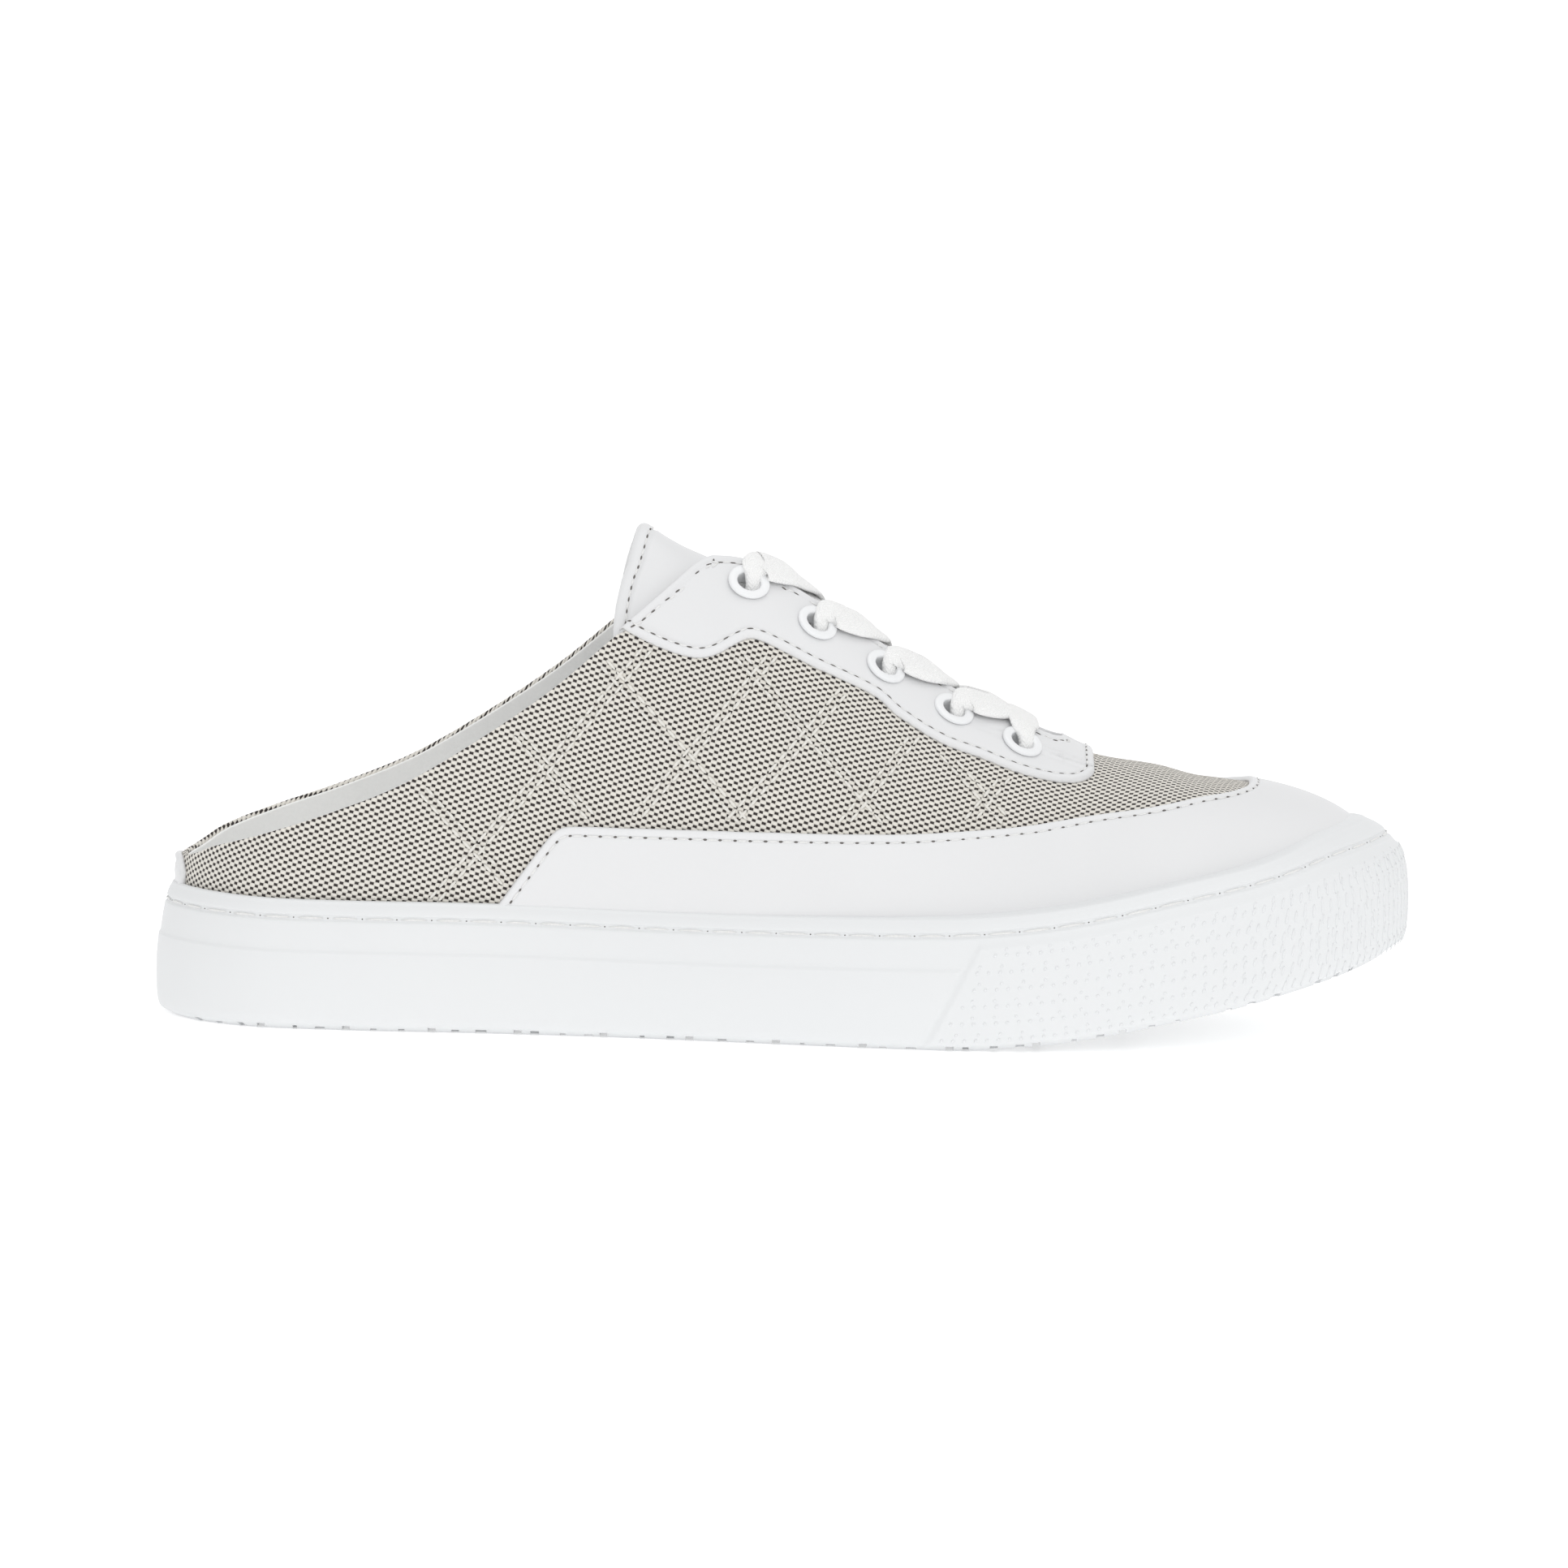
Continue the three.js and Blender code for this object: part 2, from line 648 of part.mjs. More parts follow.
// The insole lies on the cup's floor, inside the upper, with its edge turned up a little.
function insole() {
  return loftRibs((rib) => {
    const reach = lastReach(rib, -upperWall - fit);
    const at = (share, lift, inset = 0) => {
      const place = reach * share - inset;
      return { reach: place, z: cupFloor(rib.origin.x + rib.way.x * place) + lift };
    };
    const top = fit + insoleThickness;
    return [
      at(0, fit),
      at(0.5, fit),
      at(1, fit),
      at(1, top / 2, insoleCup / 2),
      at(1, top + insoleCup, insoleCup + insoleCup / 2),
      at(topRow, top),
      at(0, top),
    ];
  });
}

// The leather laid over the canvas, before its own outline is cut.
const overlaySheet = lastForm(fit + overlayThickness, 0).subtract(lastForm(fit, 1));
const aboveCup = overlaySheet.subtract(cupBody(fit));

function toeGuard() {
  const outline = [
    ...edgePoints(toeGuardEdge, 1),
    new THREE.Vector2(wellAhead, instepHeight),
    new THREE.Vector2(wellAhead, 0),
    new THREE.Vector2(toeGuardEdge[0].along * shoeLength, 0),
  ];
  return aboveCup.intersect(sidePrism(outline));
}

function eyestay() {
  const outline = [
    ...edgePoints(eyestayEdge, 1),
    new THREE.Vector2(eyestayEdge[eyestayEdge.length - 1].along * shoeLength, wellAbove),
    new THREE.Vector2(throatTopPoint.x, wellAbove),
    throatTopPoint,
  ];
  return overlaySheet.intersect(sidePrism(outline)).subtract(throat).subtract(holes);
}

// The small tab at the back of the heel, rising from the lip with a round top.
function heelTab() {
  const top = lipHeight(0) + heelTabHeight;
  const half = heelTabWidth / 2;
  const shoulder = { out: 0.9 * half, pull: 0.75 * half, up: top - 0.4 * heelTabHeight };
  const shape = new THREE.Shape();
  shape.moveTo(-half, 0);
  shape.lineTo(half, 0);
  shape.lineTo(shoulder.out, shoulder.up);
  shape.quadraticCurveTo(shoulder.pull, top, 0, top);
  shape.quadraticCurveTo(-shoulder.pull, top, -shoulder.out, shoulder.up);
  const prism = new THREE.ExtrudeGeometry(shape, {
    depth: heelPole + heelTabWidth,
    bevelEnabled: false,
    curveSegments: 5,
  });
  const [across, up, along] = [0, 1, 2].map((i) => new THREE.Vector3().setComponent((i + 1) % 3, 1));
  prism.applyMatrix4(new THREE.Matrix4().makeBasis(across, up, along)).translate(-heelTabWidth, 0, 0);
  return aboveCup.intersect(solidOf(prism));
}

// The tongue: a padded slab under the throat, whose top end stands free behind the eyestay. Its
// crown is a little wider than the throat, its sides fall away from it, and it narrows to its front.
const tongueCrownHalf = 1.15;
const tongueFall = 5;
const tongueTaper = 0.3;
function tongue() {
  const across = tongueSteps;
  const lengthwise = tongueSteps;
  const inner = -upperWall - fit;
  const topAt = (x, side) => {
    const part = x / shoeLength;
    const rise = instepHeight * readTable(tongueSections, "rise", part);
    const riseShare = Math.max(1 - (side / (tongueCrownHalf * throatHalfWidth)) ** 2, 0);
    const fall = side ** 2 / (tongueFall * throatHalfWidth);
    const cap = instepHeight * readTable(tongueSections, "ridge", part) - fall;
    return Math.min(lastHeight(x, side, inner) + rise * riseShare, cap);
  };
  const front = tongueFront * shoeLength;
  const tops = [];
  const bottoms = [];
  for (let j = 0; j <= across; j++) {
    const share = (2 * j) / across - 1;
    const back = shoeLength * readTable(tongueBack, "along", Math.abs(share), "side");
    const topLine = [];
    const bottomLine = [];
    for (let i = 0; i <= lengthwise; i++) {
      const x = back + ((front - back) * i) / lengthwise;
      const side = share * tongueHalfWidth * (1 - (tongueTaper * i) / lengthwise);
      const slope = (topAt(x, side + surfaceStep) - topAt(x, side - surfaceStep)) / (2 * surfaceStep);
      const normal = new THREE.Vector2(-slope, 1).normalize().multiplyScalar(tongueThickness);
      const z = topAt(x, side);
      topLine.push(new THREE.Vector3(x, spineSide(x) + side, z));
      bottomLine.push(new THREE.Vector3(x, spineSide(x) + side - normal.x, z - normal.y));
    }
    tops.push(topLine);
    bottoms.push(bottomLine);
  }
  const positions = [];
  for (let j = 0; j < across; j++)
    for (let i = 0; i < lengthwise; i++) {
      pushQuad(positions, tops[j][i], tops[j][i + 1], tops[j + 1][i + 1], tops[j + 1][i]);
      pushQuad(positions, bottoms[j][i], bottoms[j + 1][i], bottoms[j + 1][i + 1], bottoms[j][i + 1]);
    }
  for (let i = 0; i < lengthwise; i++) {
    pushQuad(positions, bottoms[0][i], bottoms[0][i + 1], tops[0][i + 1], tops[0][i]);
    pushQuad(positions, tops[across][i], tops[across][i + 1], bottoms[across][i + 1], bottoms[across][i]);
  }
  for (let j = 0; j < across; j++) {
    const end = lengthwise;
    pushQuad(positions, tops[j][0], tops[j + 1][0], bottoms[j + 1][0], bottoms[j][0]);
    pushQuad(positions, bottoms[j][end], bottoms[j + 1][end], tops[j + 1][end], tops[j][end]);
  }
  const wall = lastForm(fit, 1)
    .subtract(lastForm(inner, 2 * insoleThickness))
    .subtract(collar.translate(-fit, 0, fit))
    .subtract(throat);
  return solidFrom(positions).subtract(wall);
}

// An eyelet ring: a flange on the eyestay and a barrel through both layers, turned about its own
// axis. The barrel ends inside the upper's wall, and the flange slopes down to its rim.
const barrelDepth = 0.4;
const flangeSlope = 0.6;
function eyeletRing() {
  const bore = eyeletHoleRadius;
  const barrel = bore + eyeletBarrelWall;
  const barrelEnd = -(overlayThickness + fit + barrelDepth * upperWall);
  const profile = [
    [bore, barrelEnd],
    [barrel, barrelEnd],
    [barrel, fit],
    [eyeletRadius, fit],
    [eyeletRadius - flangeSlope * eyeletFlange, fit + eyeletFlange],
    [bore, fit + eyeletFlange],
    [bore, barrelEnd],
  ].map(([radius, height]) => new THREE.Vector2(radius, height));
  return new THREE.LatheGeometry(profile, eyeletSides);
}

// A flat lace's section: shares of its width and of its thickness.
const laceSection = [
  { wide: -0.5, thick: 0 },
  { wide: -0.4, thick: -0.5 },
  { wide: 0.4, thick: -0.5 },
  { wide: 0.5, thick: 0 },
  { wide: 0.4, thick: 0.5 },
  { wide: -0.4, thick: 0.5 },
];

// A flat lace along a path, closed at both ends.
function laceBand(path) {
  const rows = path.map(({ point, normal }, i) => {
    const ahead = path[Math.min(i + 1, path.length - 1)].point;
    const behind = path[Math.max(i - 1, 0)].point;
    const run = new THREE.Vector3().subVectors(ahead, behind).normalize();
    const across = new THREE.Vector3().crossVectors(run, normal).normalize();
    const up = new THREE.Vector3().crossVectors(across, run);
    return laceSection.map(({ wide, thick }) =>
      point.clone().addScaledVector(across, wide * laceWidth).addScaledVector(up, thick * laceThickness),
    );
  });
  const positions = [];
  for (let i = 0; i + 1 < rows.length; i++)
    for (let c = 0; c < laceSection.length; c++) {
      const next = (c + 1) % laceSection.length;
      pushQuad(positions, rows[i][c], rows[i + 1][c], rows[i + 1][next], rows[i][next]);
    }
  const endRow = rows[rows.length - 1];
  for (const [a, b, c, d] of [[3, 4, 5, 0], [0, 1, 2, 3]]) {
    pushQuad(positions, rows[0][a], rows[0][b], rows[0][c], rows[0][d]);
    pushQuad(positions, endRow[d], endRow[c], endRow[b], endRow[a]);
  }
  return solidFrom(positions);
}

// How far the middle of a lace lies off the last: over an eyelet's flange, and over the middle of the
// throat at each crossing from the top down, with the straight bar last.
const laceClearance = 3 * fit + laceThickness / 4;
const laceLift = fit + overlayThickness + eyeletFlange + laceClearance + laceThickness / 2;
const laceMiddleLifts = [3.4, 1.2, 0.7, 0.4, 0.8];
const laceDip = 0.25;

// A lace over the throat, from one place to another, each given by its x and its side of the spine.
function lacePath(from, to, middleLift) {
  const path = [];
  for (let i = 0; i <= laceSteps; i++) {
    const x = THREE.MathUtils.lerp(from.x, to.x, i / laceSteps);
    const side = THREE.MathUtils.lerp(from.side, to.side, i / laceSteps);
    const onEdge = smoothStep(laceDip * throatHalf(x), throatHalf(x) + laceThickness, Math.abs(side));
    const offset = THREE.MathUtils.lerp(middleLift, laceLift, onEdge);
    const at = (px, ps) => new THREE.Vector3(px, spineSide(px) + ps, lastHeight(px, ps, offset));
    const forward = at(x + surfaceStep, side).sub(at(x - surfaceStep, side));
    const inward = at(x, side + surfaceStep).sub(at(x, side - surfaceStep));
    path.push({ point: at(x, side), normal: forward.cross(inward).normalize() });
  }
  return path;
}

// Two bands that cross in the middle, each from over its eyelet to just short of the other edge.
function laceCrossing(index) {
  const bands = [-1, 1].map((hand) => {
    const from = eyeletPlace(index, hand);
    const to = eyeletPlace(index + 1, -hand);
    const reach = (eyeletRowHalf + laceReach * throatHalf(to.x)) / (2 * eyeletRowHalf);
    const end = {
      x: THREE.MathUtils.lerp(from.x, to.x, reach),
      side: THREE.MathUtils.lerp(from.side, to.side, reach),
    };
    return laceBand(lacePath(from, end, laceMiddleLifts[index]));
  });
  return joinAll(bands);
}

function laceBar() {
  const lowest = eyeletCount - 1;
  return laceBand(lacePath(eyeletPlace(lowest, -1), eyeletPlace(lowest, 1), laceMiddleLifts[lowest]));
}

// The upper: one hollow wall round the last, open at the collar, the throat and underneath.
function upper() {
  return lastForm(0, -fit)
    .subtract(lastForm(-upperWall, 3 * insoleThickness))
    .subtract(collar)
    .subtract(throat)
    .subtract(holes);
}

addPiece("cup_sole", cupSole(), "rubber");
addPiece("insole", insole(), "lining");
addPiece("upper", upper(), "canvas");
addPiece("toe_guard", toeGuard(), "leather");
addPiece("eyestay", eyestay(), "leather");
addPiece("heel_tab", heelTab(), "leather");
addPiece("tongue", tongue(), "leather");
for (const [sideName, hand] of [["outer", -1], ["inner", 1]])
  for (let i = 0; i < eyeletCount; i++) {
    const { point, normal } = eyeletPlace(i, hand);
    const piece = addPiece(`eyelet_${sideName}_${i + 1}`, solidOf(eyeletRing()), "eyelet");
    piece.position.copy(point);
    piece.quaternion.setFromUnitVectors(upright, normal);
  }
for (let i = 0; i + 1 < eyeletCount; i++) addPiece(`lace_crossing_${i + 1}`, laceCrossing(i), "lace");
addPiece("lace_bar", laceBar(), "lace");

// The origin is under the middle of the whole shoe.
const box = new THREE.Box3().setFromObject(group);
group.position.set(-(box.min.x + box.max.x) / 2, -(box.min.y + box.max.y) / 2, -box.min.z);

export default group;
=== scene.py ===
# The looks of a low, backless lace-up sneaker, the right shoe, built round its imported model.
# Lengths are millimetres from the back of the heel, and become metres where a mesh is made.
import math

import bmesh
import bpy
import numpy as np
from mathutils import Matrix, Vector
from mathutils.bvhtree import BVHTree
from mathutils.kdtree import KDTree


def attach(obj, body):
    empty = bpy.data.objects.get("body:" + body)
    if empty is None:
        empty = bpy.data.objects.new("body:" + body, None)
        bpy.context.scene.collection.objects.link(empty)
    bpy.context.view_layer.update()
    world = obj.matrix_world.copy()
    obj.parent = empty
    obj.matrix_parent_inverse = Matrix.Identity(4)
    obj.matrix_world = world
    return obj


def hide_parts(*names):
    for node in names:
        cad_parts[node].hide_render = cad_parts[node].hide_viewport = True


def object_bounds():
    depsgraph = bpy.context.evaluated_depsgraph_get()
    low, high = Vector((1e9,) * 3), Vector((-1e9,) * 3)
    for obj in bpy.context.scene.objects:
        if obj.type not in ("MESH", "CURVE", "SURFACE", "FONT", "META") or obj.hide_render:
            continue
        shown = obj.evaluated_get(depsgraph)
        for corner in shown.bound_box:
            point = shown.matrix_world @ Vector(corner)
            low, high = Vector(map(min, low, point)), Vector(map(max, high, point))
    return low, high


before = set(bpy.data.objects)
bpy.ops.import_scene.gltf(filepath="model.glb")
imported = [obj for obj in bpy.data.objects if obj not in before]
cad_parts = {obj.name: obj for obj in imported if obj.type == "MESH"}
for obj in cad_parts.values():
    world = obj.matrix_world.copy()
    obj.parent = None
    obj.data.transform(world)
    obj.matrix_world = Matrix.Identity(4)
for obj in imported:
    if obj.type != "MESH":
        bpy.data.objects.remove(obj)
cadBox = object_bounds()
millimetre = 0.001

shoe = {
    "length": 295, "ballWidth": 104, "instepHeight": 112, "heelSeat": 25, "ballSeat": 15,
    "toeSpring": 20, "cupHeight": 29.6, "cupWall": 4.4, "insole": 5, "wall": 1.8,
    "overlay": 1.2, "fit": 0.3, "collarTilt": 0.05, "stepProud": 0.35, "sideShift": 1.463,
}
length, ballWidth, instepHeight = shoe["length"], shoe["ballWidth"], shoe["instepHeight"]
fit, cupWall = shoe["fit"], shoe["cupWall"]

# Where the heel's back on the shoe's own middle line lies in the frame
heelBack = np.array([cadBox[0].x / millimetre + shoe["stepProud"], shoe["sideShift"], 0])


def table(columns, *rows):
    return dict(zip(columns.split(), np.array(rows, float).T))


solePlan = table(
    "along side",
    (0, 0), (0.022, -0.17), (0.075, -0.295), (0.16, -0.34), (0.27, -0.353), (0.38, -0.387),
    (0.49, -0.447), (0.585, -0.497), (0.665, -0.515), (0.76, -0.487), (0.855, -0.402),
    (0.935, -0.27), (0.985, -0.1), (1, 0.055), (0.98, 0.21), (0.925, 0.345), (0.84, 0.44),
    (0.745, 0.482), (0.675, 0.484), (0.575, 0.43), (0.475, 0.366), (0.375, 0.333),
    (0.27, 0.326), (0.155, 0.332), (0.072, 0.29), (0.02, 0.165),
)
lastSections = table(
    "along ridge fullness",
    (0.0, 0.6, 2.8), (0.12, 0.62, 2.5), (0.2, 0.76, 2.4), (0.29, 0.93, 2.3), (0.366, 1.035, 2.1),
    (0.434, 1.008, 2.0), (0.468, 0.992, 2.0), (0.51, 0.928, 1.9), (0.565, 0.834, 1.8),
    (0.627, 0.73, 1.7), (0.688, 0.652, 1.65), (0.72, 0.607, 1.65), (0.747, 0.576, 1.75),
    (0.8, 0.553, 2.1), (0.835, 0.53, 2.4), (1.0, 0.5, 2.6),
)
soleSections = table(
    "along spring heel lip",
    (0.0, 0, 1, 1.03), (0.1, 0, 1, 1.0), (0.27, 0, 0.86, 1.0), (0.42, 0, 0.5, 0.98),
    (0.58, 0, 0.1, 1.0), (0.637, 0, 0, 1.02), (0.7, 0.065, 0, 1.035), (0.75, 0.165, 0, 1.05),
    (0.817, 0.35, 0, 1.07), (0.868, 0.5, 0, 1.07), (0.908, 0.645, 0, 1.07),
    (0.946, 0.785, 0, 1.08), (0.978, 0.925, 0, 1.04), (1.0, 1.04, 0, 1.0),
)
cupProfile = table(
    "up inset toe",
    (0.0, 0.7, 0.9), (0.04, 0.25, 0.3), (0.13, 0.05, 0.05), (0.42, 0.0, 0.0), (0.66, 0.14, 0.18),
    (0.8, 0.28, 0.55), (0.94, 0.5, 1.4), (1.0, 0.72, 2.25),
)
collarEdge = table(
    "along up",
    (0.0, 0.33), (0.025, 0.344), (0.046, 0.374), (0.083, 0.408), (0.14, 0.46), (0.197, 0.523),
    (0.254, 0.613), (0.316, 0.728), (0.367, 0.843), (0.436, 0.992), (0.5, 1.13),
)
toeGuardEdge = table(
    "along up",
    (0.23, 0.1), (0.276, 0.267), (0.3095, 0.388), (0.318, 0.415), (0.325, 0.428), (0.335, 0.432),
    (0.36, 0.432), (0.48, 0.432),
    (0.587, 0.432), (0.637, 0.437), (0.692, 0.447), (0.746, 0.465), (0.786, 0.479),
    (0.827, 0.497), (0.858, 0.507), (0.873, 0.52), (0.886, 0.56),
)
eyestayEdge = table(
    "along up",
    (0.367, 0.843), (0.388, 0.815), (0.413, 0.79), (0.431, 0.782), (0.445, 0.79),
    (0.46, 0.812), (0.472, 0.823), (0.492, 0.804), (0.517, 0.771), (0.57, 0.706),
    (0.588, 0.667), (0.623, 0.612), (0.655, 0.581), (0.684, 0.552), (0.714, 0.532),
    (0.733, 0.528),
)
throatPlan = table("along half", (0.33, 1.15), (0.436, 1.0), (0.55, 0.86), (0.65, 0.73), (0.7, 0.66))
tongueSections = table(
    "along ridge rise",
    (0.35, 1.1, 0.05), (0.385, 1.062, 0.04), (0.408, 1.02, 0.01), (0.434, 0.984, 0),
    (0.468, 0.935, 0), (0.51, 0.872, 0), (0.565, 0.785, 0), (0.627, 0.69, 0),
    (0.688, 0.605, 0), (0.76, 0.54, 0),
)
tongueBack = table("side along", (0, 0.384), (0.35, 0.376), (0.6, 0.367), (0.85, 0.362), (1, 0.366))
throatHalfWidth, throatFront, eyeletRowHalf = 10, 0.722, 16.8
eyeletFirst, eyeletLast, eyeletCount = 0.469, 0.688, 5
heelPole, toePole, toePoleSide = 0.12 * length, 0.835 * length, 0.03 * ballWidth


def readTable(rows, column, place, key="along"):  # a smooth curve through the rows
    keys, values = rows[key], rows[column]
    last = len(keys) - 1
    before, after = np.maximum(np.arange(last + 1) - 1, 0), np.minimum(np.arange(last + 1) + 1, last)
    slope = (values[after] - values[before]) / (keys[after] - keys[before])
    place = np.clip(place, keys[0], keys[-1])
    i = np.clip(np.searchsorted(keys, place, side="right") - 1, 0, last - 1)
    span = keys[i + 1] - keys[i]
    t = (place - keys[i]) / span
    rise = values[i + 1] - values[i]
    startPull, endPull = slope[i] * span - rise, rise - slope[i + 1] * span
    return values[i] + rise * t + t * (1 - t) * (startPull * (1 - t) + endPull * t)


def smoothStep(low, high, value):
    t = np.clip((value - low) / (high - low), 0, 1)
    return t * t * (3 - 2 * t)


def unit(ways):
    return ways / np.linalg.norm(ways, axis=-1, keepdims=True)


def runAlong(line):  # how far along a line each of its places lies
    return np.concatenate([[0], np.cumsum(np.linalg.norm(np.diff(line, axis=0), axis=1))])


def treadHeight(x):
    return np.maximum(shoe["toeSpring"] * readTable(soleSections, "spring", x / length), 0)


def seatHeight(x):
    heel = readTable(soleSections, "heel", x / length)
    return shoe["ballSeat"] + (shoe["heelSeat"] - shoe["ballSeat"]) * heel + treadHeight(x)


def cupFloor(x):
    return seatHeight(x) - shoe["insole"] - fit


def lipHeight(x):
    return treadHeight(x) + shoe["cupHeight"] * readTable(soleSections, "lip", x / length)


def ridgeHeight(x):
    return instepHeight * readTable(lastSections, "ridge", x / length)


def spineSide(x):
    return toePoleSide * (x - heelPole) / (toePole - heelPole)


def splineAt(points, gaps, w):  # a centripetal curve between the middle two of four points
    p0, p1, p2, p3 = points
    d0, d1, d2 = gaps
    t1 = ((p1 - p0) / d0 - (p2 - p0) / (d0 + d1) + (p2 - p1) / d1) * d1
    t2 = ((p2 - p1) / d1 - (p3 - p1) / (d1 + d2) + (p3 - p2) / d2) * d1
    return p1 + t1 * w + (3 * p2 - 3 * p1 - 2 * t1 - t2) * w**2 + (2 * p1 - 2 * p2 + t1 + t2) * w**3


def closedCurve(points, count):
    n = len(points)
    t = np.arange(count) * n / count
    i, w = t.astype(int), (t % 1)[:, None]
    near = [points[(i + k) % n] for k in (-1, 0, 1, 2)]
    gaps = [np.sum((b - a) ** 2, 1)[:, None] ** 0.25 for a, b in zip(near, near[1:])]
    return splineAt(near, gaps, w)


soleOutline = closedCurve(np.stack([solePlan["along"] * length, solePlan["side"] * ballWidth], 1), 1040)


def makeRibs(x, angle):  # where each rib starts, which way it runs and how far off the outline is
    x, angle = np.asarray(x, float), np.asarray(angle, float)
    start = np.stack([x, spineSide(x)], 1)
    way = np.stack([np.cos(angle), np.sin(angle)], 1)
    edge = np.roll(soleOutline, -1, 0) - soleOutline
    to = soleOutline[None] - start[:, None]
    cross = way[:, None, 0] * edge[None, :, 1] - way[:, None, 1] * edge[None, :, 0]
    cross = np.where(np.abs(cross) < 1e-9, 1e-9, cross)
    along = (to[..., 0] * edge[None, :, 1] - to[..., 1] * edge[None, :, 0]) / cross
    share = (to[..., 0] * way[:, None, 1] - to[..., 1] * way[:, None, 0]) / cross
    along = np.where((share >= 0) & (share < 1), along, -1)
    best = np.argmax(along, 1)
    pick = np.arange(len(x))
    facing = np.abs(cross[pick, best]) / np.hypot(edge[best, 0], edge[best, 1])
    reach = along[pick, best]
    return {"x": x, "y": start[:, 1], "wx": way[:, 0], "wy": way[:, 1], "reach": reach,
            "facing": facing, "rimX": x + way[:, 0] * reach, "angle": angle}


def pickRibs(ribs, which):
    return {name: values[which] for name, values in ribs.items()}


def ribPoint(ribs, reach, z):  # z is a height, or a rule that gives it from x
    x, y = (ribs[axis][:, None] + ribs["w" + axis][:, None] * reach for axis in "xy")
    return np.stack([x, y, (z(x) if callable(z) else z) + 0 * reach], -1)


def lastPoint(ribs, turn, offset=0.0):  # the last's surface, moved outward by an offset
    column = {name: values[:, None] for name, values in ribs.items()}
    foot = column["reach"] - (cupWall + fit - offset) / column["facing"]
    floor = cupFloor(column["x"] + column["wx"] * foot)
    fullness = readTable(lastSections, "fullness", column["rimX"] / length)
    reach = foot * np.maximum(np.cos(turn), 0) ** (2 / fullness)
    top = ridgeHeight(column["x"] + column["wx"] * reach) + offset
    return ribPoint(ribs, reach, floor + (top - floor) * np.sin(turn) ** (2 / fullness))


def lastHeight(x, side, offset):  # the height of the last beside the spine
    x, side = np.broadcast_arrays(np.asarray(x, float), np.asarray(side, float))
    ribs = makeRibs(x.ravel(), np.where(side.ravel() < 0, -0.5, 0.5) * math.pi)
    foot = ribs["reach"] - (cupWall + fit - offset) / ribs["facing"]
    fullness = readTable(lastSections, "fullness", ribs["x"] / length)
    share = np.minimum(np.abs(side.ravel()) / foot, 1)
    floor = cupFloor(ribs["x"])
    rise = (ridgeHeight(ribs["x"]) + offset - floor) * (1 - share**fullness) ** (1 / fullness)
    return (floor + rise).reshape(x.shape)


class Layer:  # the last's surface over some ribs, read by the distance up from the foot
    def __init__(self, ribs, steps=300):
        self.ribs = ribs
        self.turn = np.linspace(0, math.pi / 2, steps)
        self.points = lastPoint(ribs, self.turn[None, :])
        step = np.linalg.norm(np.diff(self.points, axis=1), axis=2)
        self.run = np.concatenate([np.zeros((len(step), 1)), np.cumsum(step, 1)], 1)
        self.full = self.run[:, -1]

    def whereRises(self, level):  # the distance where a level first turns positive on each rib
        found = self.full.copy()
        for i in range(len(found)):
            above = np.nonzero(level[i] >= 0)[0]
            if len(above) and above[0] > 0:
                k = above[0]
                t = level[i, k - 1] / (level[i, k - 1] - level[i, k])
                found[i] = self.run[i, k - 1] + t * (self.run[i, k] - self.run[i, k - 1])
            elif len(above):
                found[i] = 0
        return found

    def turnAt(self, run):
        return np.stack([np.interp(run[i], self.run[i], self.turn) for i in range(len(run))])

    def at(self, run, offset=0.0):
        return lastPoint(self.ribs, self.turnAt(run), offset)


def smoothMin(a, b, blend):
    h = np.clip(0.5 + 0.5 * (b - a) / np.maximum(blend, 1e-6), 0, 1)
    return b + (a - b) * h - blend * h * (1 - h)


def collarLevel(points):
    x, y, z = points[..., 0], points[..., 1], points[..., 2]
    return z - instepHeight * readTable(collarEdge, "up", x / length) - shoe["collarTilt"] * y


def throatHalf(x):
    front = throatFront * length
    half = throatHalfWidth * readTable(throatPlan, "half", x / length)
    roundLength = throatHalfWidth * throatPlan["half"][-1]
    roundShare = np.clip((x - (front - roundLength)) / roundLength, 0, 1)
    return half * np.sqrt(1 - roundShare**2)


def throatLevel(points):
    x, y = points[..., 0], points[..., 1]
    return np.where(x > throatPlan["along"][0] * length, throatHalf(x) - np.abs(y - spineSide(x)), -1)


cornerRound = 6  # how round the eyestay's top corner is


def upperTop(layer):  # how far up each rib the upper reaches: the collar, the throat or the ridge
    collar = layer.whereRises(collarLevel(layer.points))
    throat = layer.whereRises(throatLevel(layer.points))
    nearCorner = (layer.ribs["x"] > 0.3 * length) & (layer.ribs["x"] < 0.48 * length)
    return smoothMin(collar, throat, np.where(nearCorner, cornerRound, 1e-6))


# Meshes
def newObject(name, data):
    made = bpy.data.objects.new(name, data)
    bpy.context.scene.collection.objects.link(made)
    return made


def makeObject(name, points, faces, material, uv=None, sharp=None):
    mesh = bpy.data.meshes.new(name)
    places = (np.asarray(points).reshape(-1, 3) + heelBack) * millimetre
    mesh.from_pydata(places.tolist(), [], [tuple(int(v) for v in f) for f in faces])
    if uv is not None:
        layer = mesh.uv_layers.new(name="cloth")
        corners = np.zeros(len(mesh.loops), int)
        mesh.loops.foreach_get("vertex_index", corners)
        layer.uv.foreach_set("vector", uv.reshape(-1, 2)[corners].astype(np.float32).ravel())
    piece = newObject(name, mesh)
    mesh.materials.append(material)
    mergeDoubles(piece)
    mesh.shade_smooth()
    if sharp:
        mesh.set_sharp_from_angle(angle=math.radians(sharp))
    return piece


